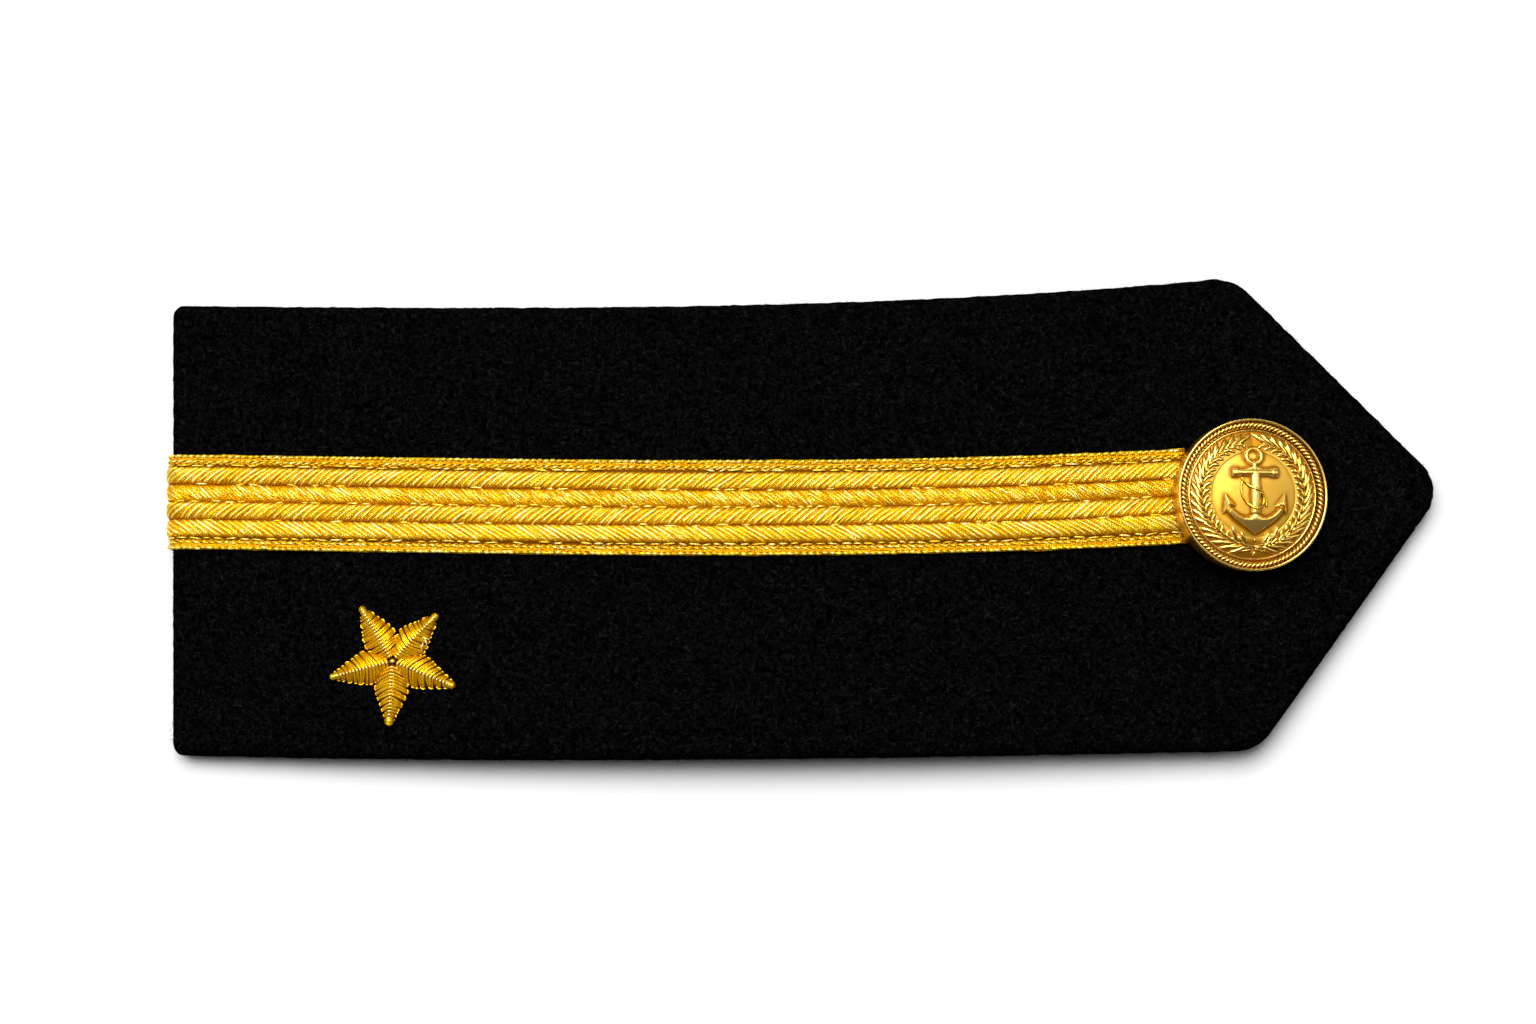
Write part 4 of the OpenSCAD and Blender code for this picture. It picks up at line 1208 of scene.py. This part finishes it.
class SHOULDERBOARD_OT_nap(bpy.types.Operator):
    """Raise loose wool fibres on the cloth and along its edges"""
    bl_idname = "shoulderboard.nap"
    bl_label = "Wool Fibres"

    def execute(self, context):
        scene, rng = context.scene, np.random.default_rng(31)
        fibre = loose_fibre(scene.board_colours)
        make_piece("wool_fibres", loose_fibres(rng, scene.board_sizes.fibre_count), fibre)
        make_piece("edge_fibres", edge_fibres(rng, scene.board_sizes.edge_fibre_count), fibre)
        return {"FINISHED"}


class SHOULDERBOARD_OT_lace(bpy.types.Operator):
    """Weave the gold lace: silk ground, slanting threads, binding stitches and stitched edges"""
    bl_idname = "shoulderboard.lace"
    bl_label = "Gold Lace"

    def execute(self, context):
        sizes, colours = context.scene.board_sizes, context.scene.board_colours
        shades = (colours.lace_dark, colours.lace_light, colours.lace_painted_highlight)
        thread = wound_thread("gilt_lace_thread", shades, roughness=0.27, winding=0.3, depth=0.05,
                              metal=0.55, painted_glint_strength=0.45)
        make_piece("lace_ground", lace_ground(), silk_ground(colours), ["lace_stripe"])
        make_piece("lace_ribs", lace_ribs(sizes), thread)
        make_piece("lace_selvage", lace_selvage(sizes), thread)
        make_piece("lace_binding", lace_dashes(), thread)
        return {"FINISHED"}


class SHOULDERBOARD_OT_star(bpy.types.Operator):
    """Embroider the five-ray star in gilt wire over padding"""
    bl_idname = "shoulderboard.star"
    bl_label = "Bullion Star"

    def execute(self, context):
        sizes, colours = context.scene.board_sizes, context.scene.board_colours
        shades = (colours.bullion_dark, colours.bullion_light, colours.bullion_painted_highlight)
        wire = wound_thread("gilt_bullion_wire", shades, roughness=0.24, winding=0.24, depth=0.006,
                            metal=0.65, painted_glint_strength=0.22)
        make_piece("star_padding", star_padding(), silk_ground(colours), ["star"])
        make_piece("star_wires", star_wires(sizes), wire)
        return {"FINISHED"}


class SHOULDERBOARD_OT_button(bpy.types.Operator):
    """Strike the gilt button: shell, rope border and the anchor in its wreath"""
    bl_idname = "shoulderboard.button"
    bl_label = "Gilt Button"

    def execute(self, context):
        sizes, colours = context.scene.board_sizes, context.scene.board_colours
        burnished = gilt_brass("burnished_gilt_brass", colours, colours.gilt_light,
                               roughness=0.36, grain=0.3, depth=0.003, coat=0.7)
        plain = gilt_brass("plain_gilt_brass", colours, colours.gilt_light,
                           roughness=0.4, grain=0.3, depth=0.003, coat=0.4)
        satin = gilt_brass("satin_gilt_brass", colours, colours.gilt_satin,
                           roughness=0.55, grain=0.12, depth=0.006, coat=0.3)
        weld(make_piece("button_rim", button_rim(), plain, ["button_shell"]))
        make_piece("button_rope", rope_border(sizes), burnished)
        make_piece("button_wreath", wreath(), burnished)
        make_piece("button_cable", cable(), burnished)
        make_piece("button_face", button_face(), satin)
        return {"FINISHED"}


class SHOULDERBOARD_OT_fittings(bpy.types.Operator):
    """Give the button's back and stud their brass"""
    bl_idname = "shoulderboard.fittings"
    bl_label = "Back and Stud"

    def execute(self, context):
        brass = context.scene.board_colours.brass
        for name, ring in (("button_back", 0.5), ("button_stud", 0.4)):
            material = turned_brass("turned_brass_" + name, tuple(brass), ring)
            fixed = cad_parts[name]
            fixed.data.materials.clear()
            fixed.data.materials.append(material)
        return {"FINISHED"}


class SHOULDERBOARD_OT_stage(bpy.types.Operator):
    """Set the white floor, the studio light and the camera"""
    bl_idname = "shoulderboard.stage"
    bl_label = "Stage"

    def execute(self, context):
        scene = context.scene
        floor_mesh = bpy.data.meshes.new("floor")
        half = 1.5
        corners = [(-half, -half, 0), (half, -half, 0), (half, half, 0), (-half, half, 0)]
        floor_mesh.from_pydata(corners, [], [(0, 1, 2, 3)])
        floor = bpy.data.objects.new("floor", floor_mesh)
        scene.collection.objects.link(floor)
        material, node = new_material("white_paper")
        paper = node("BsdfPrincipled",
                     {"Base Color": hex_colour("#DEDEDE"), "Roughness": 0.9, "Specular IOR Level": 0.0})
        floor.data.materials.append(finish_material(material, paper))
        # A wide softbox behind the top edge, a weaker one on either side, and a dim room
        for name, (x, y, z), width, depth, power in (
            ("key", (-0.25, 0.52, 1.2), 1.2, 0.8, 30.0),
            ("left_fill", (-1.1, 0.1, 0.75), 0.5, 0.8, 1.5),
            ("right_fill", (0.95, 0.3, 0.85), 0.5, 0.8, 2.2),
        ):
            light = bpy.data.lights.new(name, "AREA")
            light.shape, light.size, light.size_y, light.energy = "RECTANGLE", width, depth, power
            lamp = bpy.data.objects.new(name, light)
            lamp.location = (x, y, z)
            # It faces the middle of the board
            lamp.rotation_euler = (math.atan2(math.hypot(x, y), z), 0, math.atan2(x, -y))
            scene.collection.objects.link(lamp)
        world = bpy.data.worlds.new("room")
        world.use_nodes = True
        background = world.node_tree.nodes["Background"].inputs
        background["Color"].default_value = hex_colour("#FFFFFF")
        background["Strength"].default_value = 0.06
        scene.world = world
        scene.view_settings.view_transform = "Standard"
        # The camera looks down from 0.3 m, tipped a little
        camera = bpy.data.cameras.new("camera")
        camera.lens, camera.sensor_width = 55.22, 36.0
        camera.clip_start, camera.clip_end = 0.01, 20
        eye = bpy.data.objects.new("camera", camera)
        eye.location = (-0.00396, -0.02355, 0.29899)
        eye.rotation_euler = (math.radians(4.7), 0, 0)
        scene.collection.objects.link(eye)
        scene.camera = eye
        return {"FINISHED"}


OPERATORS = (SHOULDERBOARD_OT_stage, SHOULDERBOARD_OT_cloth, SHOULDERBOARD_OT_nap, SHOULDERBOARD_OT_lace,
             SHOULDERBOARD_OT_star, SHOULDERBOARD_OT_button, SHOULDERBOARD_OT_fittings)


class SHOULDERBOARD_PT_panel(bpy.types.Panel):
    """Sizes, colours and pieces of the shoulder board"""
    bl_idname = "SHOULDERBOARD_PT_panel"
    bl_label = "Shoulder Board"
    bl_space_type = "VIEW_3D"
    bl_region_type = "UI"
    bl_category = "Shoulder Board"

    def draw(self, context):
        for group in (context.scene.board_sizes, context.scene.board_colours):
            box = self.layout.box()
            for name in group.__annotations__:
                box.prop(group, name)
        for operator in OPERATORS:
            self.layout.operator(operator.bl_idname)


CLASSES = (BoardSizes, BoardColours) + OPERATORS + (SHOULDERBOARD_PT_panel,)


def register():
    for c in CLASSES:
        bpy.utils.register_class(c)
    bpy.types.Scene.board_sizes = PointerProperty(type=BoardSizes)
    bpy.types.Scene.board_colours = PointerProperty(type=BoardColours)


def unregister():
    del bpy.types.Scene.board_colours
    del bpy.types.Scene.board_sizes
    for c in reversed(CLASSES):
        bpy.utils.unregister_class(c)


def main():
    register()
    bpy.ops.shoulderboard.stage()
    bpy.ops.shoulderboard.cloth()
    bpy.ops.shoulderboard.nap()
    bpy.ops.shoulderboard.lace()
    bpy.ops.shoulderboard.star()
    bpy.ops.shoulderboard.button()
    bpy.ops.shoulderboard.fittings()


if __name__ == "__main__":
    main()
